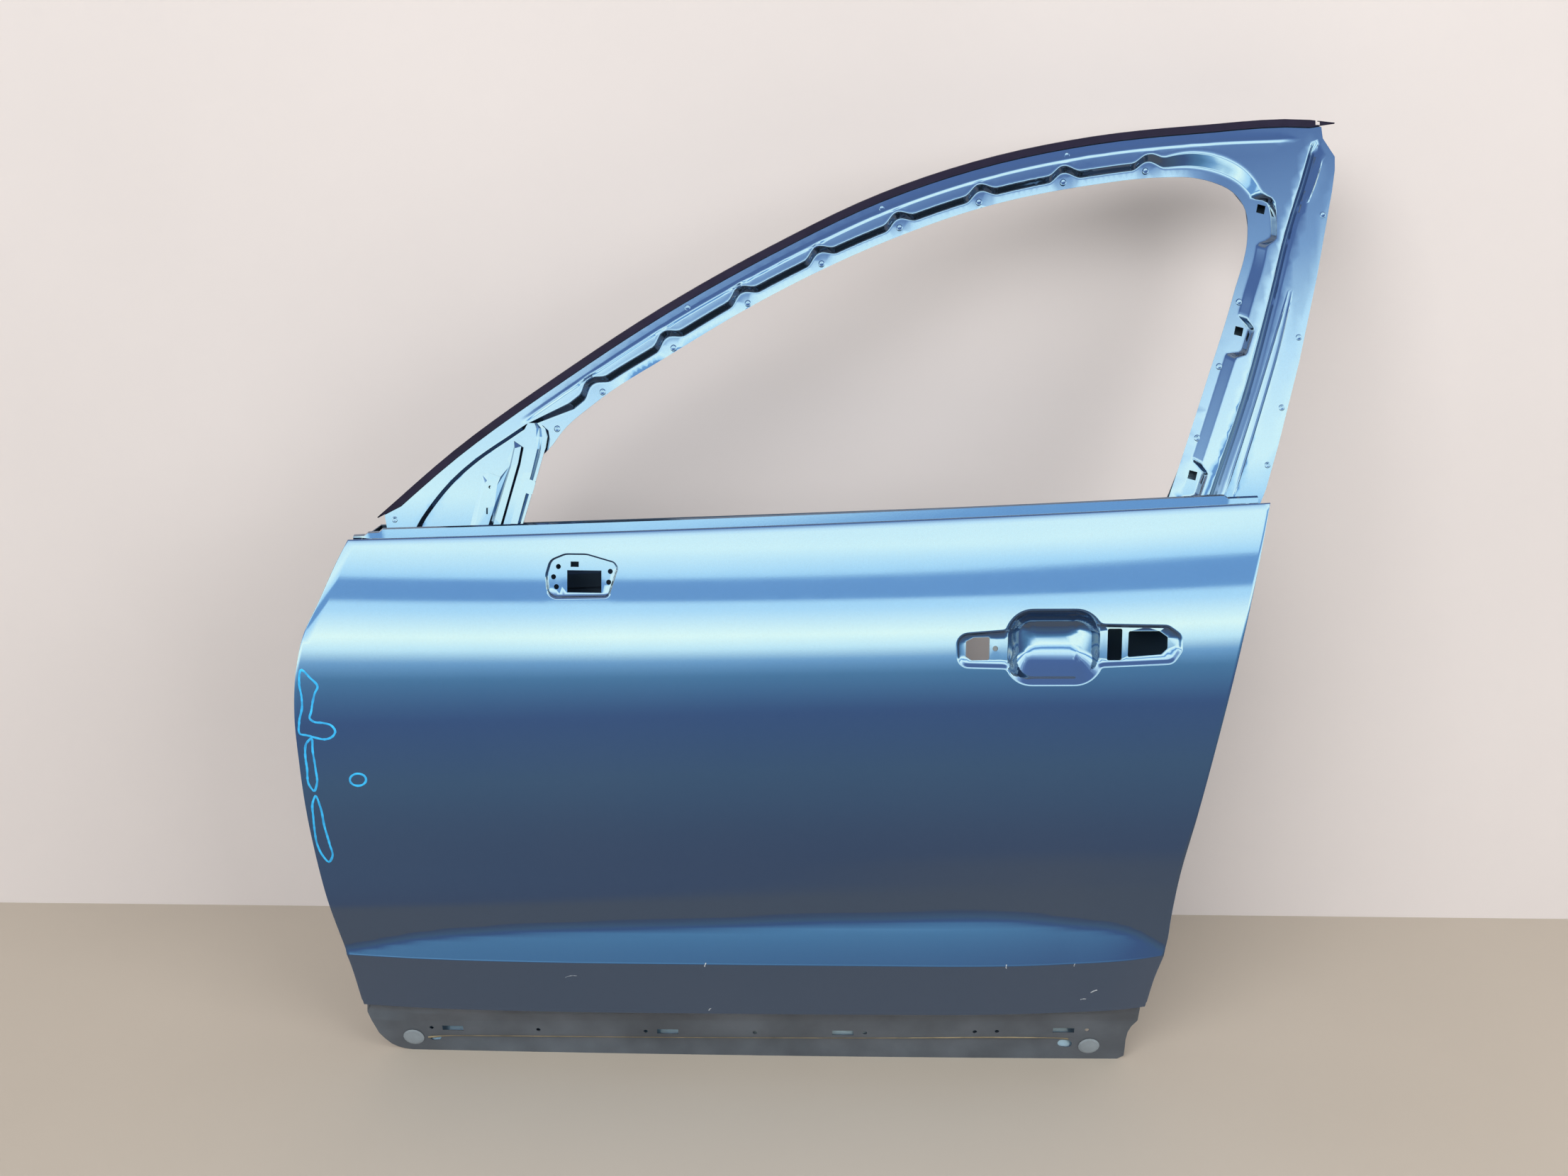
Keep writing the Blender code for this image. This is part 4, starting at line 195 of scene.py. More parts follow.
# Window frame
FRAME_BASE = 0.700
FRAME_FOOT = 0.022
FRAME_LEAN = 0.268
FRAME_CURL = 0.287
FRAME_CROWN = 0.014
CHANNEL_DEPTH = 0.009
HEADER_EDGE = [(-0.5224, 0.7306), (-0.4288, 0.8086), (-0.2995, 0.8980), (-0.1709, 0.9782),
               (-0.0420, 1.0469), (0.0877, 1.1058), (0.2184, 1.1470), (0.3498, 1.1726),
               (0.4818, 1.1858), (0.6310, 1.1916)]
WINDOW_TOP = [(-0.3088, 0.8148), (-0.2985, 0.8287), (-0.2556, 0.8649), (-0.1699, 0.9174),
              (-0.0414, 0.9892), (0.0877, 1.0471), (0.2176, 1.0904), (0.3482, 1.1157), (0.4356, 1.1247)]
WINDOW_CORNER = [(0.4791, 1.1239), (0.5033, 1.1181), (0.5222, 1.1091), (0.5339, 1.0968),
                 (0.5395, 1.0845), (0.5404, 1.0600)]
WINDOW_REAR = [(0.5201, 0.9870), (0.4867, 0.8901), (0.4415, 0.7577)]
WINDOW_FRONT = [(-0.3600, 0.690), (-0.3471, 0.7255), (-0.3333, 0.7653), (-0.3214, 0.8020)]
PILLAR_REAR = [(0.5565, 0.7679), (0.5708, 0.8168), (0.5973, 0.9140), (0.6213, 1.0111),
               (0.6438, 1.1089), (0.6487, 1.1336), (0.6496, 1.1493)]
PILLAR_CHAMFER = [(0.6359, 1.1708), (0.6350, 1.1840)]
PILLAR_FOOT = [(0.4020, 0.640), (0.4420, 0.640), (0.5000, 0.700), (0.5440, 0.742), (0.5500, 0.752)]
SAIL_FRONT = [(-0.5136, 0.7316), (-0.5110, 0.7175), (-0.5060, 0.690)]
SAIL_CURVE = [(-0.478, 0.690), (-0.4697, 0.7181), (-0.4540, 0.7415), (-0.4260, 0.7733),
              (-0.3904, 0.8020), (-0.3665, 0.8175), (-0.3380, 0.8360)]
PILLAR_GROOVE = [(0.6275, 1.1650), (0.6066, 1.1070), (0.5990, 1.0880), (0.5870, 1.0540), (0.5700, 0.9950),
                 (0.5370, 0.8840), (0.4955, 0.7640), (0.4750, 0.7000)]
PILLAR_BEADS = [[(0.5860, 0.9950), (0.5690, 0.9450), (0.5400, 0.8600), (0.5060, 0.7610)],
                [(0.5900, 0.9930), (0.5770, 0.9450), (0.5500, 0.8600), (0.5175, 0.7610)]]
PILLAR_BEAD = (0.0018, -0.0016, 0.03)
GROOVE_RIDGE = [(0.6330, 1.1450), (0.6215, 1.1150), (0.6130, 1.0970)]
GROOVE_RIDGE_BEAD = (0.0020, -0.0016, 0.012)
HEADER_SPAN = (-0.515, PILLAR_CHAMFER[-1][0] - 0.004)
SCALLOP_COUNT = 8
SCALLOP_FIRST_X = -0.249
SCALLOP_LAST_X = 0.421
SCALLOP_RISE = 0.0090
SCALLOP_REACH = 0.021
HEADER_FLANGE = 0.0090
HEADER_WALL = 0.0112
WALL_FILLET = 0.2
FLANGE_TURN = 0.0014
FLANGE_FADES = (0.05, 0.08)
PILLAR_FLANGE = 0.0110
PILLAR_WALL = 0.0120
CORNER_WALL = 0.0240
WALL_SHARES = (0.0, 0.07, 0.14, 0.2, 0.5, 0.8, 0.86, 0.93, 1.0)
WALL_GUARD = 0.0018
GUARD_SPAN = slice(12, -2)
WALL_LEAD = 0.035
WALL_STOP = 0.001
WALL_STEP = 0.0032
WALL_PROBE = 0.004
RIM_REACH = 0.002
SAIL_WALL = 0.0050
PAD_HEIGHTS = [1.0878, 0.9474, 0.7821]
PAD_RISE = 0.0170
PAD_WALL_RISE = 0.0110
PAD_REACH = 0.024
PAD_EDGE = 0.42
PAD_HOLE = 0.0100
PAD_HOLE_INSET = 0.0195
PAD_HOLE_TURN = math.radians(-14)
BEAD_SPAN = (-0.36, 0.604)
BEAD_OFFSET = 0.0205
HEADER_BEAD = (0.0045, -0.0010, 0.02)
GROOVE_BEAD = (0.0072, 0.0062, 0.006)
FRAME_EDGE_INSET = 0.0025
FRAME_GRID = ((-0.50, 0.64, 120), (0.70, 1.18, 50))
FRAME_GAP = 0.004

# Marks, as pixels of the photograph
MARKER_LOOPS = [
    [(425, 945), (437, 956), (448, 969), (444, 978), (441, 991), (439, 1004), (437, 1014), (442, 1018),
     (456, 1020), (468, 1024), (473, 1032), (469, 1039), (459, 1043), (446, 1041), (431, 1037), (424, 1036),
     (422, 1019), (426, 998), (425, 981), (422, 965)],
    [(439, 1042), (432, 1049), (430.5, 1062), (433, 1083), (437, 1109), (443, 1116), (447, 1106),
     (445, 1084), (441, 1059)],
    [(445, 1123), (441, 1133), (442, 1153), (444, 1173), (447.5, 1191), (456, 1208), (464, 1216),
     (469, 1208), (465, 1191), (457.5, 1165), (452, 1139)],
]
MARKER_OVAL = (505, 1100, 11.5, 8.6)
MARKER_WIDTH = 0.0030
MARKER_UNEVENNESS = 0.35
PAINT_FILM = (0.00012, 0.00005)
NICK_BEND = 0.18
NICK_UNEVENNESS = 1.2
WELD_RADIUS = 0.0031
WELD_LIFT = 0.0002
WELD_SIDES = 20
WELD_PROFILE = [(1.25, -0.0002), (1.0, 0.0004), (0.82, 0.0005), (0.62, 0.0001)]
WELD_MIDDLE = 0.0001
FLANGE_WELDS = [(786, 605), (850, 553), (950, 491), (1055, 428), (1159, 372), (1269, 321), (1381, 285),
                (1500, 257), (1616, 241), (1748, 426), (1720, 517), (1689, 618)]
FACE_WELDS = [(970, 434), (1244, 294), (1505, 219), (1866, 303), (1832, 476), (1808, 575), (1788, 656),
              (557, 733)]
NICKS = [((-0.1230, 0.1750), 0.0062, 0.0012, 1.25), ((-0.1195, 0.0990), 0.0050, 0.0012, 0.9),
         ((0.2560, 0.1780), 0.0060, 0.0010, 1.6), ((0.3420, 0.1780), 0.0044, 0.0010, 1.4),
         ((-0.2960, 0.1490), 0.0160, 0.0006, 0.2), ((0.3715, 0.1320), 0.0090, 0.0016, 0.5),
         ((0.3590, 0.1190), 0.0070, 0.0014, 0.1)]

MERGE = 0.00003
ROOT = "root"


class Stations:
    """A smooth curve through stations of (key, value), for single keys or arrays of them."""

    def __init__(self, stations):
        self.keys = np.array([key for key, _ in stations], float)
        self.values = np.array([value for _, value in stations], float)
        spans = np.diff(self.keys)
        slopes = np.diff(self.values) / spans
        inner = (slopes[:-1] * spans[1:] + slopes[1:] * spans[:-1]) / (spans[:-1] + spans[1:])
        self.slopes = np.concatenate([slopes[:1], inner, slopes[-1:]])

    def __call__(self, key):
        key = np.asarray(key, float)
        i = np.clip(np.searchsorted(self.keys, key, side="right") - 1, 0, len(self.keys) - 2)
        span = self.keys[i + 1] - self.keys[i]
        t = (key - self.keys[i]) / span
        low = (1 + 2 * t) * (1 - t) ** 2 * self.values[i] + t * (1 - t) ** 2 * span * self.slopes[i]
        high = t * t * (3 - 2 * t) * self.values[i + 1] + t * t * (t - 1) * span * self.slopes[i + 1]
        before = self.values[0] + (key - self.keys[0]) * self.slopes[0]
        after = self.values[-1] + (key - self.keys[-1]) * self.slopes[-1]
        return np.where(key <= self.keys[0], before, np.where(key >= self.keys[-1], after, low + high))


belt_height = Stations(BELT_LINE)
bottom_height = Stations(SKIN_BOTTOM)
crease_height = Stations(CREASE_LINE)
flare_height = Stations(FLARE_HEIGHT)
front_edge = Stations(FRONT_EDGE)
rear_edge = Stations(REAR_EDGE)
skin_section = Stations(SKIN_SECTION)
step_top = Stations(STEP_TOP)
sill_hole_height = Stations(SILL_HOLE_LINE)
bowl_depth = Stations(BOWL)


def smooth(t):
    t = np.clip(t, 0, 1)
    return t * t * (3 - 2 * t)


def crown(x, rise):
    return rise * (x / CROWN_REACH) ** 2


def slopes(surface, x, z, step=0.003):
    along_x = (surface(x + step, z) - surface(x - step, z)) / (2 * step)
    along_z = (surface(x, z + step) - surface(x, z - step)) / (2 * step)
    return along_x, along_z


def steepness(surface, x, z):
    along_x, along_z = slopes(surface, x, z)
    return np.sqrt(1 + along_x ** 2 + along_z ** 2)


def behind(surface, x, z, depth):
    """Y of points a depth behind a surface, square to it."""
    return surface(x, z) + depth * steepness(surface, x, z)


def skin_surface(x, z):
    """Y of the skin's outer face, without its recesses."""
    x, z = np.asarray(x, float), np.asarray(z, float)
    z_crease = crease_height(x)
    over = z - z_crease
    reach = flare_height(np.clip(x, FLARE_HEIGHT[0][0], FLARE_HEIGHT[-1][0]))
    down = np.maximum(0, 1 - over / reach)
    bend = np.minimum(1, down / FLARE_BEND)
    flare = FLARE_BEND * (bend ** 3 - bend ** 4 / 2) + np.maximum(0, down - FLARE_BEND)
    below = skin_section(z_crease) - FLARE_SLOPE * reach * (1 - FLARE_BEND / 2) - UNDER_CREASE_SLOPE * over
    above = skin_section(z) - FLARE_SLOPE * reach * flare
    share = smooth((over + CREASE_RADIUS) / (2 * CREASE_RADIUS))
    return below * (1 - share) + above * share + crown(x, SKIN_CROWN)


def frame_surface(x, z):
    """Y of the window frame's outer face, without its channel and beads."""
    rise = np.asarray(z, float) - FRAME_BASE
    return FRAME_FOOT + FRAME_LEAN * rise + FRAME_CURL * rise * rise + crown(x, FRAME_CROWN)


def sill_knots(x):
    """Heights and Y places of the sill strip's section at each x, from under its lower edge up."""
    bottom = bottom_height(x)
    top = step_top(x)
    ends = np.clip(np.minimum(x - STEP_TOP[0][0], STEP_TOP[1][0] - x) / STEP_FADE + 1, 0, 1)
    heights = [0 * x - SILL_UNDER, 0 * x, top - STEP_HEIGHT, top, bottom - SILL_SHOULDER]
    depths = [0, 0, STEP_DEPTH * ends, 0, 0]
    places = [-SILL_SLOPE * height + depth + crown(x, SILL_CROWN) for height, depth in zip(heights, depths)]
    skin = skin_surface(x, bottom) + LAP * steepness(skin_surface, x, bottom - LAP_PROBE)
    tuck, lap, end = bottom + SILL_TUCK[0], bottom + SILL_TUCK[1], bottom + SILL_LAP + SILL_PAST_LAP
    shoulder, shelf, under, close = [skin + gap for gap in SILL_TUCK_GAPS]
    heights += [bottom - SILL_SHELF, tuck, lap, end]
    places[-1] = np.maximum(places[-1], shoulder)
    places += [np.maximum(places[-1] - SILL_SHELF_DEPTH, shelf), under, close,
               close + (skin_surface(x, end) - skin_surface(x, lap))]
    return heights, places


def sill_surface(x, z):
    """Y of the sill strip's outer face, with its bends rolled."""
    x, z = np.broadcast_arrays(np.asarray(x, float), np.asarray(z, float))
    heights, places = sill_knots(x)
    total = np.zeros(x.shape)
    steps = (-1, -0.4, 0, 0.4, 1)
    for step in steps:
        level = z + SILL_ROLL * step
        y = places[0]
        for low, high, before, after in zip(heights, heights[1:], places, places[1:]):
            share = np.clip((level - low) / (high - low), 0, 1)
            y = np.where(level > low, before + (after - before) * share, y)
        total = total + y / len(steps)
    return total


# Plan lines

def even(first, last, count):
    return [first + (last - first) * i / count for i in range(count + 1)]


def lengths_of(points):
    lengths = [0.0]
    for a, b in zip(points, points[1:]):
        lengths.append(lengths[-1] + math.dist(a, b))
    return lengths


def flowing(points, spacing):
    """A smooth line through points, with a point about every spacing."""
    lengths = lengths_of(points)
    along_x = Stations([(length, point[0]) for length, point in zip(lengths, points)])
    along_z = Stations([(length, point[1]) for length, point in zip(lengths, points)])
    stops = np.linspace(0, lengths[-1], max(2, round(lengths[-1] / spacing)) + 1)
    return list(zip(along_x(stops).tolist(), along_z(stops).tolist()))


def spaced(loop, spacing):
    """A closed loop with straight stretches split, so that no step is longer than the spacing."""
    made = []
    for a, b in zip(loop, loop[1:] + loop[:1]):
        count = max(1, math.ceil(math.dist(a, b) / spacing))
        made += [(a[0] + (b[0] - a[0]) * i / count, a[1] + (b[1] - a[1]) * i / count) for i in range(count)]
    return made


def offset(points, distance, closed):
    """A line moved to its left side."""
    count = len(points)
    moved = []
    for i, (x, z) in enumerate(points):
        before = points[i - 1] if i or closed else points[i]
        after = points[(i + 1) % count] if i < count - 1 or closed else points[i]
        first = Vector((x - before[0], z - before[1]))
        second = Vector((after[0] - x, after[1] - z))
        first = first.normalized() if first.length > MERGE else second.normalized()
        second = second.normalized() if second.length > MERGE else first
        normal = Vector((-first.y - second.y, first.x + second.x)).normalized()
        stretch = max(0.5, normal.dot(Vector((-first.y, first.x))))
        moved.append((x + normal.x * distance / stretch, z + normal.y * distance / stretch))
    return moved


def distances(points, chains):
    """Distance from each point to the nearest of the chains."""
    places = np.array(points, float)
    nearest = np.full(len(places), np.inf)
    for chain, closed in chains:
        line = np.array(chain + chain[:1] if closed else chain, float)
        for a, b in zip(line, line[1:]):
            run = b - a
            t = np.clip(((places - a) @ run) / max(run @ run, MERGE ** 2), 0, 1)
            nearest = np.minimum(nearest, np.hypot(*(places - a - t[:, None] * run).T))
    return nearest


def within(points, loop):
    """Which of the points lie inside a closed loop."""
    places = np.array(points, float)
    found = np.zeros(len(places), bool)
    for (x0, z0), (x1, z1) in zip(loop, loop[1:] + loop[:1]):
        if z0 == z1:
            continue
        crosses = (z0 > places[:, 1]) != (z1 > places[:, 1])
        found ^= crosses & (places[:, 0] < x0 + (places[:, 1] - z0) * (x1 - x0) / (z1 - z0))
    return found


def inset_of(points, loop):
    """Distance inside a closed loop, and less than nothing outside it."""
    gaps = distances(points, [(loop, True)])
    return np.where(within(points, loop), gaps, -gaps)


def rounded(corners, radii, steps=6):
    """A closed polygon with its corners rounded."""
    if not isinstance(radii, (list, tuple)):
        radii = [radii] * len(corners)
    loop = []
    for i, corner in enumerate(corners):
        here = Vector(corner)
        to_before = Vector(corners[i - 1]) - here
        to_after = Vector(corners[(i + 1) % len(corners)]) - here
        half = to_before.angle(to_after) / 2
        reach = min(radii[i] / math.tan(half), 0.48 * min(to_before.length, to_after.length))
        start = here + to_before.normalized() * reach
        end = here + to_after.normalized() * reach
        centre_way = (to_before.normalized() + to_after.normalized()).normalized()
        radius = reach * math.tan(half)
        centre = here + centre_way * math.hypot(reach, radius)
        for step in range(steps + 1):
            t = step / steps
            chord = start.lerp(end, t) - centre
            loop.append(tuple(centre + chord.normalized() * radius))
    return loop


def moved(points, centre, angle=0.0):
    c, s = math.cos(angle), math.sin(angle)
    return [(centre[0] + x * c - z * s, centre[1] + x * s + z * c) for x, z in points]


def box_loop(width, height):
    return [(-width / 2, -height / 2), (width / 2, -height / 2), (width / 2, height / 2),
            (-width / 2, height / 2)]


def circle(centre, radius, sides=20):
    return [(centre[0] + radius * math.cos(2 * math.pi * i / sides),
             centre[1] + radius * math.sin(2 * math.pi * i / sides)) for i in range(sides)]


def joined(base, other):
    """Outline round two overlapping loops, both anticlockwise."""
    outside_other = ~within(base, other)
    start = next(i for i in range(len(base)) if outside_other[i] and not outside_other[i - 1])
    kept = [base[(start + i) % len(base)] for i in range(len(base)) if outside_other[(start + i) % len(base)]]
    outside_base = ~within(other, base)
    begin = next(i for i in range(len(other)) if outside_base[i] and not outside_base[i - 1])
    return kept + [other[(begin + i) % len(other)] for i in range(len(other))
                   if outside_base[(begin + i) % len(other)]]


def relaxed(loop, rounds):
    """A closed loop of even steps with its corners eased."""
    line = np.array(loop)
    for _ in range(rounds):
        line = (np.roll(line, 1, 0) + 2 * line + np.roll(line, -1, 0)) / 4
    return [tuple(point) for point in line.tolist()]


# Meshes

def add_object(name, data):
    item = bpy.data.objects.new(name, data)
    bpy.context.scene.collection.objects.link(item)
    return item


def add_piece(name, mesh, material):
    mesh.transform(Matrix.Translation(SHIFT))
    mesh.materials.append(material)
    item = add_object(name, mesh)
    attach(item, ROOT)
    return item


def mesh_from(shape, name, angle):
    mesh = bpy.data.meshes.new(name)
    shape.to_mesh(mesh)
    shape.free()
    mesh.shade_smooth()
    mesh.set_sharp_from_angle(angle=math.radians(angle))
    used = np.zeros(len(mesh.loops), np.int32)
    mesh.loops.foreach_get("edge_index", used)
    for rim in np.flatnonzero(np.bincount(used, minlength=len(mesh.edges)) == 1).tolist():
        mesh.edges[rim].use_edge_sharp = True
    return mesh


def pressed(chains, holes, points, height):
    """A sheet from its plan: chains are (points, closed), the outline first, and height gives y."""
    places = []
    edges = []
    given = []
    for chain, closed in list(chains) + [(hole, True) for hole in holes]:
        first = len(places)
        flat = [(p[0], p[-1]) for p in chain]
        places += flat
        given += [p[1] if len(p) == 3 else None for p in chain]
        count = len(chain)
        edges += [(first + i, first + (i + 1) % count) for i in range(count if closed else count - 1)]
    places += list(points)
    given += [None] * len(points)
    verts, _, faces, sources, _, _ = delaunay_2d_cdt([Vector(p) for p in places], edges, [], 1, MERGE)
    xs = np.array([v.x for v in verts])
    zs = np.array([v.y for v in verts])
    ys = height(xs, zs)
    sheet = bmesh.new()
    made = []
    by_source = {}
    for i, source in enumerate(sources):
        stated = [given[index] for index in source if given[index] is not None]
        made.append(sheet.verts.new((xs[i], stated[0] if stated else ys[i], zs[i])))
        for index in source:
            by_source[index] = made[-1]
    centres = [(xs[list(face)].mean(), zs[list(face)].mean()) for face in faces]
    shut = np.zeros(len(faces), bool)
    for hole in holes:
        shut |= within(centres, [(p[0], p[-1]) for p in hole])
    for face, skip in zip(faces, shut):
        if not skip:
            sheet.faces.new([made[i] for i in face])
    bmesh.ops.delete(sheet, geom=[v for v in sheet.verts if not v.link_faces], context="VERTS")
    for face in sheet.faces:
        face.normal_update()
        if face.normal.y > 0:
            face.normal_flip()
    return sheet, by_source


def join_rows(sheet, rows, closed=False):
    """Faces between rows of points, one row beside the next."""
    count = len(rows[0])
    for low, high in zip(rows, rows[1:]):
        for i in range(count if closed else count - 1):
            j = (i + 1) % count
            sheet.faces.new((low[i], low[j], high[j], high[i]))


def face_outward(sheet):
    bmesh.ops.recalc_face_normals(sheet, faces=sheet.faces[:])
    if sum(face.normal.y for face in sheet.faces) > 0:
        bmesh.ops.reverse_faces(sheet, faces=sheet.faces[:])


def add_sheet(name, shape, node, material, angle=38):
    """A sheet of metal that stands for a CAD node."""
    item = add_piece(name, mesh_from(shape, name, angle), material)
    sheet = item.modifiers.new("sheet", "SOLIDIFY")
    sheet.thickness = SHEET
    sheet.offset = -1.0
    sheet.use_even_offset = False
    sheet.use_quality_normals = True
    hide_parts(node)
    return item


# Outer skin

def row_height(fraction, x):
    crease = crease_height(x)
    return crease + fraction * (crease - bottom_height(x) if fraction < 0 else belt_height(x) - crease)


def row_end(fraction, edge, start):
    x = start
    for _ in range(12):
        x = float(edge(row_height(fraction, x)))
    return x


def skin_row(fraction, inset=0.0):
    first = row_end(fraction, front_edge, FRONT_EDGE[0][1]) + inset
    last = row_end(fraction, rear_edge, REAR_EDGE[0][1]) - inset
    xs = np.array(even(first, last, SKIN_COLUMNS))
    return list(zip(xs.tolist(), row_height(fraction, xs).tolist()))


def skin_ends(fractions, edge, start):
    ends = [row_end(fraction, edge, start) for fraction in fractions]
    return [(x, float(row_height(fraction, x))) for x, fraction in zip(ends, fractions)]


CUP, LEFT, RIGHT = [
    spaced(moved(rounded(loop, radii, steps), HANDLE_CENTRE), LIP_STEP)
    for loop, radii, steps in ((box_loop(*CUP_SIZE), CUP_RADIUS, 12), (LEFT_WING, LEFT_WING_RADII, 8),
                               (RIGHT_WING, RIGHT_WING_RADII, 8))]
LIP = relaxed(joined(joined(CUP, LEFT), RIGHT), LIP_EASING)
MIRROR_LIP = spaced(rounded(MIRROR_OUTLINE, MIRROR_RADII, 8), MIRROR_STEP)


def recess_depth(x, z):
    """Depth of the two recesses at points of the skin."""
    places = np.stack([x, z], 1)
    depth = np.zeros(len(places))
    near = np.hypot(x - HANDLE_CENTRE[0], z - HANDLE_CENTRE[1]) < RECESS_REACH
    lip = inset_of(places[near], LIP)
    cup = inset_of(places[near], CUP)
    shallow = RECESS_DEPTH * smooth((lip + RECESS_ROLL) / (RECESS_WALL + RECESS_ROLL))
    bowl = np.where(cup > BOWL[0][0], bowl_depth(np.minimum(cup, BOWL[-1][0])), 0)
    depth[near] = np.maximum(shallow, bowl)
    near = np.hypot(x - MIRROR_SLOT[0], z - MIRROR_SLOT[1]) < MIRROR_REACH
    lip = inset_of(places[near], MIRROR_LIP)
    depth[near] = MIRROR_DEPTH * smooth((lip + MIRROR_ROLL) / (MIRROR_WALL + MIRROR_ROLL))
    return depth


def skin_face(x, z):
    return behind(skin_surface, x, z, recess_depth(x, z))


def skin_holes():
    handle = [rounded(loop, HOLE_ROUNDING, 4) for loop in (LEFT_HOLE, MIDDLE_HOLE, RIGHT_HOLE)]
    handle.append(circle(ROUND_HOLE, ROUND_HOLE_RADIUS))
    holes = [moved(loop, HANDLE_CENTRE) for loop in handle]
    holes += [moved(box_loop(*place[2:]), place[:2]) for place in (MIRROR_SLOT, MIRROR_SQUARE)]
    return holes + [circle(place, MIRROR_HOLE_RADIUS, 16) for place in MIRROR_HOLES]


def make_skin(material):
    fractions = even(-1, 0, SKIN_ROWS_LOW)[1:] + even(0, 1, SKIN_ROWS_HIGH)[1:-1]
    rear = skin_ends(fractions, rear_edge, 0.5)
    front = skin_ends(fractions, front_edge, -0.6)
    outline = skin_row(-1) + rear + skin_row(1)[::-1] + front[::-1]
    belt_corner = SKIN_COLUMNS + 1 + len(rear)
    corners = [outline[i] for i in (0, SKIN_COLUMNS, belt_corner, belt_corner + SKIN_COLUMNS)]
    edge = offset(outline, HEM_TURN, True)
    rings = [offset(loop, inset, True) for loop, insets in ((LIP, LIP_RINGS), (CUP, BOWL_RINGS),
                                                            (MIRROR_LIP, MIRROR_RINGS)) for inset in insets]
    mouth = offset(CUP, MOUTH_INSET, True)
    crease = skin_row(0.0, SKIN_INSET)
    creases = [([(x, z + rise * CREASE_RADIUS) for x, z in crease], False) for rise in CREASE_LINES]
    holes = skin_holes()
    grid = [p for fraction in fractions for p in skin_row(fraction, SKIN_INSET)]
    drawn = [(edge, True)] + creases
    gaps = distances(grid, drawn + [(ring, True) for ring in rings + [mouth] + holes])
    points = [p for p, gap in zip(grid, gaps) if gap > SKIN_GAP]
    points += [p for p, gap in zip(mouth, inset_of(mouth, LIP)) if gap > MOUTH_GAP]
    sheet, by_source = pressed(drawn + [(ring, True) for ring in rings], holes, points, skin_face)
    rows = []
    for place, depth in HEM_PROFILE:
        line = np.array(offset(outline, place, True))
        rows.append((line, behind(skin_surface, *line.T, depth)))
    folded = {}
    for i in range(SKIN_COLUMNS + 1, len(outline)):
        near_corner = min(math.dist(outline[i], corner) for corner in corners) < HEM_RELIEF
        levels = rows[:2] if near_corner else rows
        folded[i] = [by_source[i]] + [sheet.verts.new((line[i][0], ys[i], line[i][1])) for line, ys in levels]
    for i in folded:
        if i + 1 in folded:
            for level in range(min(len(folded[i]), len(folded[i + 1])) - 1):
                a, b = folded[i], folded[i + 1]
                sheet.faces.new((b[level], a[level], a[level + 1], b[level + 1]))
    face_outward(sheet)
    add_sheet("skin_pressing", sheet, "outer_skin", material)


# Belt strip

def make_belt_strip(material):
    """The flange beside the glass slot, bonded behind the skin's hem."""
    xs = np.array(even(STRIP_RISE[0][0], STRIP_RISE[-1][0], STRIP_COLUMNS))
    belt = belt_height(xs)
    rise = np.interp(xs, *zip(*STRIP_RISE))
    slant = steepness(skin_surface, xs, belt)
    upright = skin_surface(xs, belt) + HEM_DEPTH * slant + STRIP_GAP
    rows = [(skin_surface(xs, z) + (HEM_DEPTH + STRIP_GLUE) * slant, z)
            for z in (belt - STRIP_DROP, belt - HEM_LEAF - STRIP_SHOULDER)]
    rows.append((upright, belt - STRIP_FOOT))
    rows.append((upright + STRIP_LEAN * rise, belt + rise))
    rows.append((upright + STRIP_LIP, belt + rise + STRIP_LIP_RISE))
    sheet = bmesh.new()
    lines = [[sheet.verts.new(place) for place in zip(xs.tolist(), ys.tolist(), zs.tolist())]
             for ys, zs in rows]
    join_rows(sheet, lines)
    add_sheet("belt_pressing", sheet, "belt_reinforcement_outer", material, 20)


# Sill strip

def make_sill(material, sealer_material):
    first, last = SILL_FRONT[0][0], SILL_REAR[0][0]
    bottom = [(x, 0.0) for x in even(first, last, SILL_EDGE_STEPS)[1:-1]]
    lap_x = even(SILL_REAR[-1][0], SILL_FRONT[-1][0] + SILL_LAP_INSET, SILL_LAP_STEPS)
    lap = [(x, float(bottom_height(x)) + SILL_LAP) for x in lap_x]
    outline = [SILL_FRONT[0]] + bottom + SILL_REAR + lap + SILL_FRONT[:0:-1]
    holes = [circle((x, float(sill_hole_height(x))), SILL_SMALL_RADIUS, 14) for x in SILL_SMALL_HOLES]
    holes += [moved(box_loop(*SILL_SLOT_SIZE), (x, float(sill_hole_height(x)))) for x in SILL_SLOTS]
    holes += [moved(rounded(box_loop(*size), OVAL_ROUNDING * size[1]), place)
              for place, size in SILL_OVALS.items()]
    holes += [circle(place, PLUG_HOLE_RADIUS, 28) for place in PLUG_PLACES]
    bend = (-SILL_BEND, 0.0, SILL_BEND)
    grid = []
    for x in even(*SILL_SPAN):
        top = float(step_top(x))
        foot = float(bottom_height(x))
        levels = [level + d for level in (top - STEP_HEIGHT, top) for d in bend]
        levels += [top + d for d in SILL_STEP_ROWS]
        levels += [level + d for level in (foot - SILL_SHOULDER, foot - SILL_SHELF) for d in bend]
        levels += [foot + d for d in SILL_TUCK_ROWS]
        grid += [(x, z) for z in SILL_LOW_ROWS + levels]
    gaps = distances(grid, [(outline, True)] + [(hole, True) for hole in holes])
    inner = within(grid, outline)
    points = [p for p, gap, is_in in zip(grid, gaps, inner) if is_in and gap > SILL_GAP]
    sheet, _ = pressed([(outline, True)], holes, points, sill_surface)
    add_sheet("sill_pressing", sheet, "sill_extension_panel", material)
    bead = ribbon(flowing(SEALER_LINE, 0.006), sill_surface, *SEALER_BEAD, SEALER_UNEVENNESS, 11)
    add_piece("sill_sealer", mesh_from(bead, "sill_sealer", 70), sealer_material)


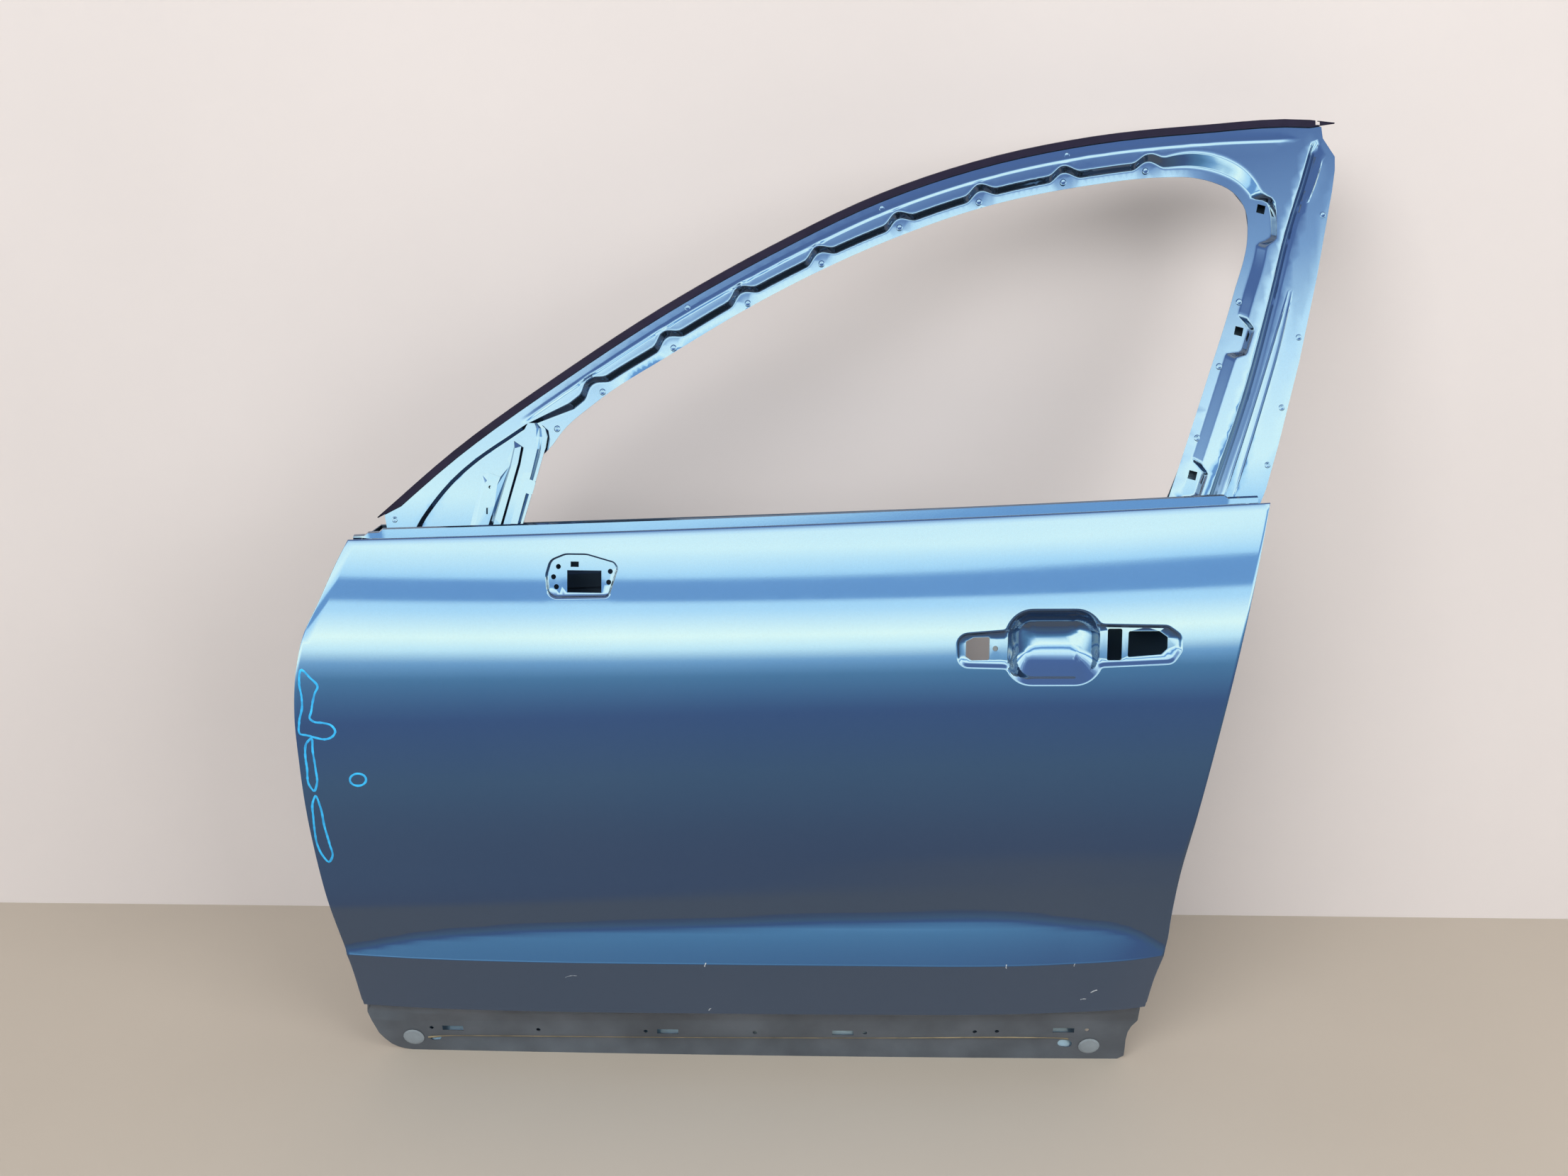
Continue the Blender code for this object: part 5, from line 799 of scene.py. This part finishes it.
def ribbon(line, surface, width, rise, sink, unevenness, seed, closed=False):
    """A low rounded bead along a plan line of a surface."""
    draw = np.random.default_rng(seed)
    profile = [(-0.5, -sink), (-0.42, 0.35 * rise), (-0.2, 0.9 * rise), (0.0, rise), (0.2, 0.9 * rise),
               (0.42, 0.35 * rise), (0.5, -sink)]
    shares = 1 + unevenness * (draw.random(len(line)) - 0.5)
    middle = np.array(line)
    sheet = bmesh.new()
    rows = []
    for place, height in profile:
        base = np.array(offset(line, width * place, closed))
        side = middle + (base - middle) * shares[:, None]
        ys = behind(surface, *side.T, -height)
        rows.append([sheet.verts.new((p[0], y, p[1])) for p, y in zip(side, ys)])
    join_rows(sheet, rows, closed)
    if not closed:
        for end in (0, -1):
            sheet.faces.new([row[end] for row in rows])
    face_outward(sheet)
    return sheet


# Window frame

def bump(position, centre, reach):
    t = abs(position - centre) / reach
    return 0.0 if t >= 1 else 0.5 + 0.5 * math.cos(math.pi * t)


def plateau(position, centre, reach):
    return float(smooth((1.0 - abs(position - centre) / reach) / PAD_EDGE))


def window_edge(spacing):
    return flowing(WINDOW_TOP + WINDOW_CORNER + WINDOW_REAR, spacing)


def channel_lines():
    """Lower and upper edge of the channel's wall, from the sail round to the foot of the pillar."""
    edge = window_edge(0.0015)
    lengths = lengths_of(edge)
    xs, zs = zip(*edge)

    def place(mark):
        return Vector((np.interp(mark, lengths, xs), np.interp(mark, lengths, zs)))

    peak = max(range(len(edge)), key=lambda i: edge[i][0])
    start, end = np.interp((SCALLOP_FIRST_X, SCALLOP_LAST_X), xs[:peak], lengths[:peak])
    scallops = even(start, end, SCALLOP_COUNT - 1)
    pads = np.interp(PAD_HEIGHTS, zs[peak:][::-1], lengths[peak:][::-1])
    low, high = [], []
    for mark in np.arange(scallops[0] - WALL_LEAD, lengths[-1] - WALL_STOP, WALL_STEP):
        here = place(mark)
        run = (place(mark + WALL_PROBE) - place(mark - WALL_PROBE)).normalized()
        out = Vector((-run.y, run.x))
        turn = min(1.0, max(0.0, (mark - scallops[-1]) / (pads[0] - scallops[-1])))
        scallop = SCALLOP_RISE * max(bump(mark, centre, SCALLOP_REACH) for centre in scallops)
        pad = max(plateau(mark, centre, PAD_REACH) for centre in pads)
        flange = HEADER_FLANGE + (PILLAR_FLANGE - HEADER_FLANGE) * turn
        last = PILLAR_WALL if mark > lengths[peak] else HEADER_WALL
        wall = last + (CORNER_WALL - last) * math.sin(math.pi * turn)
        low.append(tuple(here + out * (flange + scallop + PAD_RISE * pad)))
        high.append(tuple(here + out * (flange + scallop + wall + PAD_WALL_RISE * pad)))
    sail_low = flowing(SAIL_CURVE, 0.008)
    sail_high = offset(sail_low, SAIL_WALL, False)
    slope = (WINDOW_REAR[-1][0] - WINDOW_REAR[-2][0]) / (WINDOW_REAR[-1][1] - WINDOW_REAR[-2][1])
    foot = PILLAR_FOOT[0][1]
    low_foot = (low[-1][0] + slope * (foot - low[-1][1]), foot)
    return sail_low + low + [low_foot], sail_high + high + [(low_foot[0] + PILLAR_WALL, foot)]


def on_frame(points, depth=0.0):
    line = np.array(points)
    ys = behind(frame_surface, *line.T, depth)
    return [(x, y, z) for (x, z), y in zip(line.tolist(), ys.tolist())]


def ridge(line, half, depth, fade):
    """Lines of a rounded bead or groove along a line: its depth is less than nothing for a bead."""
    lengths = np.array(lengths_of(line))
    ends = smooth(lengths / fade) * smooth((lengths[-1] - lengths) / fade)
    chains = []
    for place in (-1.0, -0.66, -0.33, 0.0, 0.33, 0.66, 1.0):
        share = 0.5 + 0.5 * math.cos(math.pi * place)
        chains.append((on_frame(offset(line, half * place, False), depth * share * ends), False))
    return chains


def pillar_hole(height):
    falling = [p for p in window_edge(0.004) if p[1] < PAD_HEIGHTS[0] + 0.03 and p[0] > 0.3]
    x = np.interp(height, [p[1] for p in falling][::-1], [p[0] for p in falling][::-1])
    return moved(box_loop(PAD_HOLE, PAD_HOLE), (x + PAD_HOLE_INSET, height), PAD_HOLE_TURN)


def make_frame(material):
    edge = flowing(HEADER_EDGE, 0.010)
    header = [p for p in offset(edge, -FRAME_EDGE_INSET, False)[::-1]
              if HEADER_SPAN[0] < p[0] < HEADER_SPAN[1]]
    window_side = WINDOW_FRONT + window_edge(0.007)
    outline = window_side + PILLAR_FOOT + PILLAR_REAR + PILLAR_CHAMFER + header + SAIL_FRONT
    low, high = channel_lines()
    gaps = distances(outline, [(window_side, False)])
    along = np.array([x for x, _ in outline])
    begun = smooth((along - WINDOW_TOP[2][0]) / FLANGE_FADES[0])
    left = smooth((WINDOW_CORNER[2][0] - along) / FLANGE_FADES[1])
    rim = on_frame(outline, np.where(gaps < RIM_REACH, CHANNEL_DEPTH + FLANGE_TURN * begun * left, 0.0))
    foot = next(i for i, p in enumerate(outline) if p == PILLAR_FOOT[0])
    rim[foot] = on_frame([PILLAR_FOOT[0]], CHANNEL_DEPTH)[0]
    rim[foot + 1:foot + 1] = on_frame([low[-1]], CHANNEL_DEPTH) + on_frame([high[-1]])
    rim += on_frame([high[0]]) + on_frame([low[0]], CHANNEL_DEPTH)
    chains = [(rim, True)]
    for share in WALL_SHARES:
        line = [(a[0] + (b[0] - a[0]) * share, a[1] + (b[1] - a[1]) * share) for a, b in zip(low, high)]
        near = min(share, 1 - share)
        rise = near ** 2 / (2 * WALL_FILLET) if near < WALL_FILLET else near - WALL_FILLET / 2
        rise /= 1 - WALL_FILLET
        chains.append((on_frame(line, CHANNEL_DEPTH * (1 - rise if share <= 0.5 else rise)), False))
    chains.append((on_frame(offset(high, WALL_GUARD, False)[GUARD_SPAN]), False))
    chains.append((on_frame(offset(low, -WALL_GUARD, False)[GUARD_SPAN], CHANNEL_DEPTH), False))
    line = [p for p in edge if BEAD_SPAN[0] < p[0] < BEAD_SPAN[1]]
    chains += ridge(offset(line, -BEAD_OFFSET, False), *HEADER_BEAD)
    chains += ridge(flowing(PILLAR_GROOVE, 0.008), *GROOVE_BEAD)
    for bead in PILLAR_BEADS:
        chains += ridge(flowing(bead, 0.010), *PILLAR_BEAD)
    chains += ridge(flowing(GROOVE_RIDGE, 0.008), *GROOVE_RIDGE_BEAD)
    holes = [on_frame(pillar_hole(height), CHANNEL_DEPTH) for height in PAD_HEIGHTS]
    grid = [(x, z) for x in even(*FRAME_GRID[0]) for z in even(*FRAME_GRID[1])]
    drawn = [([(p[0], p[-1]) for p in chain], False) for chain, _ in chains[1:]]
    free = within(grid, outline) & (distances(grid, [(outline, True)] + drawn) > FRAME_GAP)
    deep = within(grid, window_side + [PILLAR_FOOT[0]] + low[::-1])
    points = [p for p, kept in zip(grid, free & ~deep) if kept]
    web = [p for p, kept in zip(grid, free & deep) if kept]
    chains += [([place], False) for place in on_frame(web, CHANNEL_DEPTH)]
    sheet, _ = pressed(chains, holes, points, frame_surface)
    item = add_sheet("frame_pressing", sheet, "window_frame_outer", material, 50)
    flats = item.modifiers.new("flats", "WEIGHTED_NORMAL")
    flats.keep_sharp = True
    flats.weight = 60


# Marks placed by the photograph

CAMERA_MATRIX = Matrix.Rotation(CAMERA_TURN, 3, "Z") @ Matrix.Rotation(CAMERA_TILT, 3, "X")


def seen_at(pixel, surface, depth=0.0):
    """Plan place of a photograph's pixel on a surface."""
    way = CAMERA_MATRIX @ Vector(((pixel[0] - PHOTO_SIZE[0] / 2) / FOCAL_PIXELS,
                                  (PHOTO_SIZE[1] / 2 - pixel[1]) / FOCAL_PIXELS, -1))
    start = CAMERA_PLACE - SHIFT
    y = 0.0
    for _ in range(20):
        place = start + way * ((y - start.y) / way.y)
        y = float(surface(place.x, place.z)) + depth
    return place.x, place.z


def closed_flow(points, spacing):
    line = flowing(points[-2:] + points + points[:3], spacing)
    first = min(range(len(line) // 2), key=lambda i: math.dist(line[i], points[0]))
    last = min(range(len(line) // 2, len(line)), key=lambda i: math.dist(line[i], points[0]))
    return line[first:last]


def add_marks(name, shapes, material):
    """One piece made of many small shapes."""
    whole = bmesh.new()
    for shape in shapes:
        part = bpy.data.meshes.new("part")
        shape.to_mesh(part)
        shape.free()
        whole.from_mesh(part)
        bpy.data.meshes.remove(part)
    add_piece(name, mesh_from(whole, name, 60), material)


def make_marker(material):
    x, z, wide, high = MARKER_OVAL
    oval = [(x + wide * math.cos(a), z + high * math.sin(a)) for a in even(0, 2 * math.pi, 12)[:-1]]
    shapes = []
    for i, pixels in enumerate(MARKER_LOOPS + [oval]):
        line = closed_flow([seen_at(pixel, skin_surface) for pixel in pixels], MARKER_WIDTH)
        shapes.append(ribbon(line, skin_surface, MARKER_WIDTH, *PAINT_FILM, MARKER_UNEVENNESS, 20 + i, True))
    add_marks("marker_strokes", shapes, material)


def weld_spot(place, depth):
    """A shallow ring left by a spot weld."""
    x, z = place
    y = float(frame_surface(x, z)) + depth
    slope_x, slope_z = slopes(frame_surface, x, z, 0.002)
    shape = bmesh.new()
    rings = []
    for share, rise in WELD_PROFILE:
        rings.append([shape.verts.new((x + a, y + slope_x * a + slope_z * b - rise, z + b))
                      for a, b in circle((0, 0), WELD_RADIUS * share, WELD_SIDES)])
    centre = shape.verts.new((x, y - WELD_MIDDLE, z))
    join_rows(shape, rings, True)
    for i in range(WELD_SIDES):
        shape.faces.new((rings[-1][i - 1], rings[-1][i], centre))
    return shape


def make_welds(material):
    shapes = [weld_spot(seen_at(p, frame_surface, CHANNEL_DEPTH), CHANNEL_DEPTH + WELD_LIFT)
              for p in FLANGE_WELDS]
    shapes += [weld_spot(seen_at(p, frame_surface), 0.0) for p in FACE_WELDS]
    add_marks("spot_welds", shapes, material)


def make_nicks(material):
    shapes = []
    for i, ((x, z), length, width, angle) in enumerate(NICKS):
        run = Vector((math.cos(angle), math.sin(angle))) * length / 2
        bend = Vector((-run.y, run.x)) * NICK_BEND
        line = [(x + run.x * t + bend.x * (1 - t * t), z + run.y * t + bend.y * (1 - t * t))
                for t in even(-1, 1, 6)]
        shapes.append(ribbon(line, skin_surface, width, *PAINT_FILM, NICK_UNEVENNESS, 40 + i))
    add_marks("paint_nicks", shapes, material)


# Materials

def new_material(name):
    material = bpy.data.materials.new(name)
    material.use_nodes = True
    tree = material.node_tree
    return material, tree, tree.nodes["Principled BSDF"]


def wire(tree, node, inputs):
    """Sets a node's inputs: each takes a number, a colour, or a link from a socket."""
    for name, source in inputs.items():
        if isinstance(source, bpy.types.NodeSocket):
            tree.links.new(source, node.inputs[name])
        else:
            node.inputs[name].default_value = source
    return node


def add_node(tree, kind, inputs):
    return wire(tree, tree.nodes.new("ShaderNode" + kind), inputs)


def noise(tree, scale, detail=3.0, stretch=None):
    place = tree.nodes.new("ShaderNodeTexCoord").outputs["Object"]
    if stretch:
        place = add_node(tree, "Mapping", {"Vector": place, "Scale": stretch}).outputs["Vector"]
    return add_node(tree, "TexNoise", {"Vector": place, "Scale": scale, "Detail": detail}).outputs["Fac"]


def ramp(tree, source, stops):
    made = tree.nodes.new("ShaderNodeValToRGB")
    while len(made.color_ramp.elements) < len(stops):
        made.color_ramp.elements.new(0.5)
    for element, (place, colour) in zip(made.color_ramp.elements, stops):
        element.position = place
        element.color = (*colour, 1.0)
    tree.links.new(source, made.inputs["Fac"])
    return made.outputs["Color"]


def grey(value):
    return (value, value, value)


def tinted(colour, factor):
    return tuple(min(1.0, part * factor) for part in colour)


def varied(tree, source, colour, low, high, stops=(0.3, 0.7)):
    """A colour that follows a texture, from low to high times itself."""
    return ramp(tree, source, [(stops[0], tinted(colour, low)), (stops[1], tinted(colour, high))])


def bumped(tree, source, strength, distance):
    made = add_node(tree, "Bump", {"Height": source, "Strength": strength, "Distance": distance})
    return made.outputs["Normal"]


def paint(name, colour, metallic=0.90, roughness=0.055, coat=1.0, coat_roughness=0.02, dust=0.05, peel=0.006):
    """Metallic paint under clear coat: fine flake, faint dust and orange peel."""
    material, tree, shader = new_material(name)
    flake = varied(tree, noise(tree, 2600.0, 1.0), colour, 0.90, 1.10, (0.34, 0.66))
    film = ramp(tree, noise(tree, 3.0), [(0.35, grey(0.0)), (0.75, grey(dust))])
    mix = tree.nodes.new("ShaderNodeMix")
    mix.data_type = "RGBA"
    wire(tree, mix, {"Factor": film, "A": flake, "B": (0.34, 0.36, 0.38, 1.0)})
    wire(tree, shader, {"Metallic": metallic, "Coat Weight": coat, "Coat Roughness": coat_roughness,
                        "Base Color": mix.outputs["Result"],
                        "Roughness": varied(tree, noise(tree, 38.0, 5.0), grey(roughness), 0.85, 1.2),
                        "Normal": bumped(tree, noise(tree, 420.0, 2.0), peel, 0.0006)})
    return material


def plain(name, colour, roughness, metallic, variation, scale, bump, bump_scale=300.0, specular=0.5):
    """A matt or satin finish with uneven colour and a fine texture."""
    material, tree, shader = new_material(name)
    base = varied(tree, noise(tree, scale, 6.0), colour, 1 - variation, 1 + variation)
    rough = varied(tree, noise(tree, scale * 3.1, 4.0), grey(roughness), 0.88, 1.12)
    wire(tree, shader, {"Metallic": metallic, "Specular IOR Level": specular, "Base Color": base,
                        "Roughness": rough,
                        "Normal": bumped(tree, noise(tree, bump_scale, 4.0), bump, 0.0008)})
    return material


def bare_steel(name, colour):
    """Drawn steel with long fine scratches."""
    material, tree, shader = new_material(name)
    lines = noise(tree, 60.0, 6.0, (1.0, 14.0, 14.0))
    wire(tree, shader, {"Metallic": 1.0, "Base Color": varied(tree, lines, colour, 0.75, 1.2),
                        "Roughness": ramp(tree, lines, [(0.3, grey(0.34)), (0.7, grey(0.55))]),
                        "Normal": bumped(tree, lines, 0.12, 0.0005)})
    return material


FINISHES = {
    "body": paint("body_paint", (0.095, 0.165, 0.270)),
    "inner": paint("inner_paint", (0.080, 0.145, 0.230), 0.6, 0.38, 0.6, 0.12, 0.25, 0.10),
    "sill": plain("sill_paint", (0.110, 0.128, 0.150), 0.46, 0.35, 0.25, 14.0, 0.10),
    "sealer": plain("sill_sealer", (0.230, 0.190, 0.120), 0.65, 0.0, 0.35, 60.0, 0.5, 160.0),
    "strip": plain("dark_strip", (0.014, 0.011, 0.026), 0.55, 0.0, 0.2, 25.0, 0.05, specular=0.12),
    "primer": plain("grey_primer", (0.180, 0.200, 0.220), 0.55, 0.15, 0.12, 20.0, 0.10),
    "steel": bare_steel("bare_steel", (0.42, 0.43, 0.44)),
    "plug": plain("pale_plug", (0.240, 0.285, 0.320), 0.50, 0.0, 0.10, 60.0, 0.10),
    "mastic": plain("black_mastic", (0.040, 0.040, 0.043), 0.85, 0.0, 0.25, 40.0, 0.6, 140.0),
    "marker": plain("marker_ink", (0.030, 0.420, 0.900), 0.45, 0.0, 0.30, 120.0, 0.10),
    "nick": plain("nick_primer", (0.380, 0.420, 0.460), 0.60, 0.0, 0.30, 200.0, 0.20),
}

NODE_FINISH = {
    "body": "belt_reinforcement_outer division_channel channel_clip sail_bracket outer_skin "
            "window_frame_outer",
    "inner": "inner_panel window_frame_inner belt_reinforcement_inner",
    "sill": "sill_extension_panel",
    "strip": "roof_seal_retainer",
    "primer": "handle_reinforcement mirror_reinforcement impact_beam_bracket_front impact_beam_bracket_rear",
    "steel": "impact_beam check_strap_plate latch_reinforcement hinge_reinforcement_upper "
             "hinge_reinforcement_lower hinge_nut_upper_top hinge_nut_upper_bottom hinge_nut_lower_top "
             "hinge_nut_lower_bottom",
    "plug": "drain_plug_front drain_plug_rear",
    "mastic": "beam_mastic_front beam_mastic_middle beam_mastic_rear damping_sheet",
}

for finish_name, node_names in NODE_FINISH.items():
    for node_name in node_names.split():
        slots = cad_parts[node_name].data.materials
        slots.clear()
        slots.append(FINISHES[finish_name])

make_skin(FINISHES["body"])
make_belt_strip(FINISHES["body"])
make_sill(FINISHES["sill"], FINISHES["sealer"])
make_frame(FINISHES["body"])
make_marker(FINISHES["marker"])
make_welds(FINISHES["body"])
make_nicks(FINISHES["nick"])


# Studio: floor, wall, a sky that only glossy rays see, and lamps

STUDIO_REACH = 9
WALL_TOP = 6
WALL_Y = 0.286
FLOOR_COLOUR = (0.540, 0.485, 0.415)
WALL_COLOUR = (0.735, 0.700, 0.690)
SKY = [(-90, (0.072, 0.063, 0.060)), (-35, (0.070, 0.061, 0.058)), (-33.8, (0.049, 0.052, 0.067)),
       (-20, (0.055, 0.076, 0.095)), (-11, (0.047, 0.070, 0.118)), (-4.0, (0.084, 0.165, 0.215)),
       (-1.0, (0.20, 0.32, 0.38)), (1.4, (0.72, 0.78, 0.62)),
       (4.0, (1.0, 0.93, 0.62)), (9.0, (0.56, 0.68, 0.62)), (10.6, (0.52, 0.66, 0.62)),
       (11.2, (0.165, 0.280, 0.385)), (15.2, (0.170, 0.285, 0.390)), (15.9, (0.50, 0.65, 0.62)),
       (20, (0.86, 0.86, 0.63)), (30, (0.66, 0.72, 0.62)), (39, (0.25, 0.32, 0.38)),
       (51, (0.080, 0.115, 0.20)), (90, (0.08, 0.11, 0.18))]
SKY_STRENGTH = 5.2
SKY_TILT = 0.10
AMBIENT = (0.86, 0.88, 0.92, 1.0)
AMBIENT_STRENGTH = 0.45
LAMP_WARMTH = (1.0, 0.975, 0.955)


def plane(name, corners, material):
    mesh = bpy.data.meshes.new(name)
    mesh.from_pydata(corners, [], [tuple(range(len(corners)))])
    mesh.materials.append(material)
    item = add_object(name, mesh)
    return item


def mixed(tree, factor, first, second, output):
    """Mixes two shaders into the output node of a tree."""
    mix = add_node(tree, "MixShader", {0: factor, 1: first.outputs[0], 2: second.outputs[0]})
    wire(tree, tree.nodes[output], {"Surface": mix.outputs["Shader"]})


def backdrop_material(name, colour, one_sided):
    material, tree, shader = new_material(name)
    base = varied(tree, noise(tree, 1.3, 4.0), colour, 0.97, 1.03)
    wire(tree, shader, {"Base Color": base, "Roughness": 0.9, "Specular IOR Level": 0.0})
    if one_sided:
        facing = tree.nodes.new("ShaderNodeNewGeometry").outputs["Backfacing"]
        mixed(tree, facing, shader, tree.nodes.new("ShaderNodeBsdfTransparent"), "Material Output")
    return material


def multiply_add(tree, value, factor, addend):
    made = tree.nodes.new("ShaderNodeMath")
    made.operation = "MULTIPLY_ADD"
    return wire(tree, made, {0: value, 1: factor, 2: addend}).outputs["Value"]


SIDE = STUDIO_REACH
floor = plane("floor", [(-SIDE, -SIDE, 0), (SIDE, -SIDE, 0), (SIDE, SIDE, 0), (-SIDE, SIDE, 0)],
              backdrop_material("floor", FLOOR_COLOUR, False))
floor.visible_glossy = False
plane("wall", [(-SIDE, WALL_Y, 0), (SIDE, WALL_Y, 0), (SIDE, WALL_Y, WALL_TOP), (-SIDE, WALL_Y, WALL_TOP)],
      backdrop_material("wall", WALL_COLOUR, True))

world = bpy.data.worlds.new("studio_sky")
bpy.context.scene.world = world
world.use_nodes = True
sky = world.node_tree
way = add_node(sky, "SeparateXYZ", {"Vector": sky.nodes.new("ShaderNodeTexCoord").outputs["Generated"]})
height = multiply_add(sky, way.outputs["X"], -SKY_TILT, way.outputs["Z"])
bands = ramp(sky, multiply_add(sky, height, 0.5, 0.5),
             [(0.5 + 0.5 * math.sin(math.radians(elevation)), colour) for elevation, colour in SKY])
background = wire(sky, sky.nodes["Background"], {"Color": bands, "Strength": SKY_STRENGTH})
ambient = add_node(sky, "Background", {"Color": AMBIENT, "Strength": AMBIENT_STRENGTH})
glossy = sky.nodes.new("ShaderNodeLightPath").outputs["Is Glossy Ray"]
mixed(sky, glossy, ambient, background, "World Output")


def lamp(name, place, target, size, power, colour=(1.0, 1.0, 1.0)):
    light = bpy.data.lights.new(name, "AREA")
    light.shape = "RECTANGLE"
    light.size, light.size_y = size
    light.energy = power
    light.color = colour
    item = add_object(name, light)
    item.location = place
    item.rotation_euler = (Vector(target) - Vector(place)).to_track_quat("-Z", "Y").to_euler()
    item.visible_glossy = False


lamp("front_lamp", (-1.6, -3.6, 3.0), (0, 0.2, 0.5), (3.0, 2.0), 125, LAMP_WARMTH)
lamp("fill_lamp", (2.6, -2.8, 2.2), (0, 0.2, 0.4), (2.4, 2.0), 70, LAMP_WARMTH)
lamp("back_lamp", (0.5, 3.2, 2.6), (0, 0, 0.5), (3.0, 2.0), 90)

camera_data = bpy.data.cameras.new("photo_camera")
camera_data.sensor_width = SENSOR
camera_data.sensor_fit = "HORIZONTAL"
camera_data.lens = SENSOR * FOCAL_PIXELS / PHOTO_SIZE[0]
camera = add_object("photo_camera", camera_data)
camera.location = CAMERA_PLACE
camera.rotation_euler = (CAMERA_TILT, 0, CAMERA_TURN)
bpy.context.scene.camera = camera
bpy.context.scene.view_settings.view_transform = "Standard"
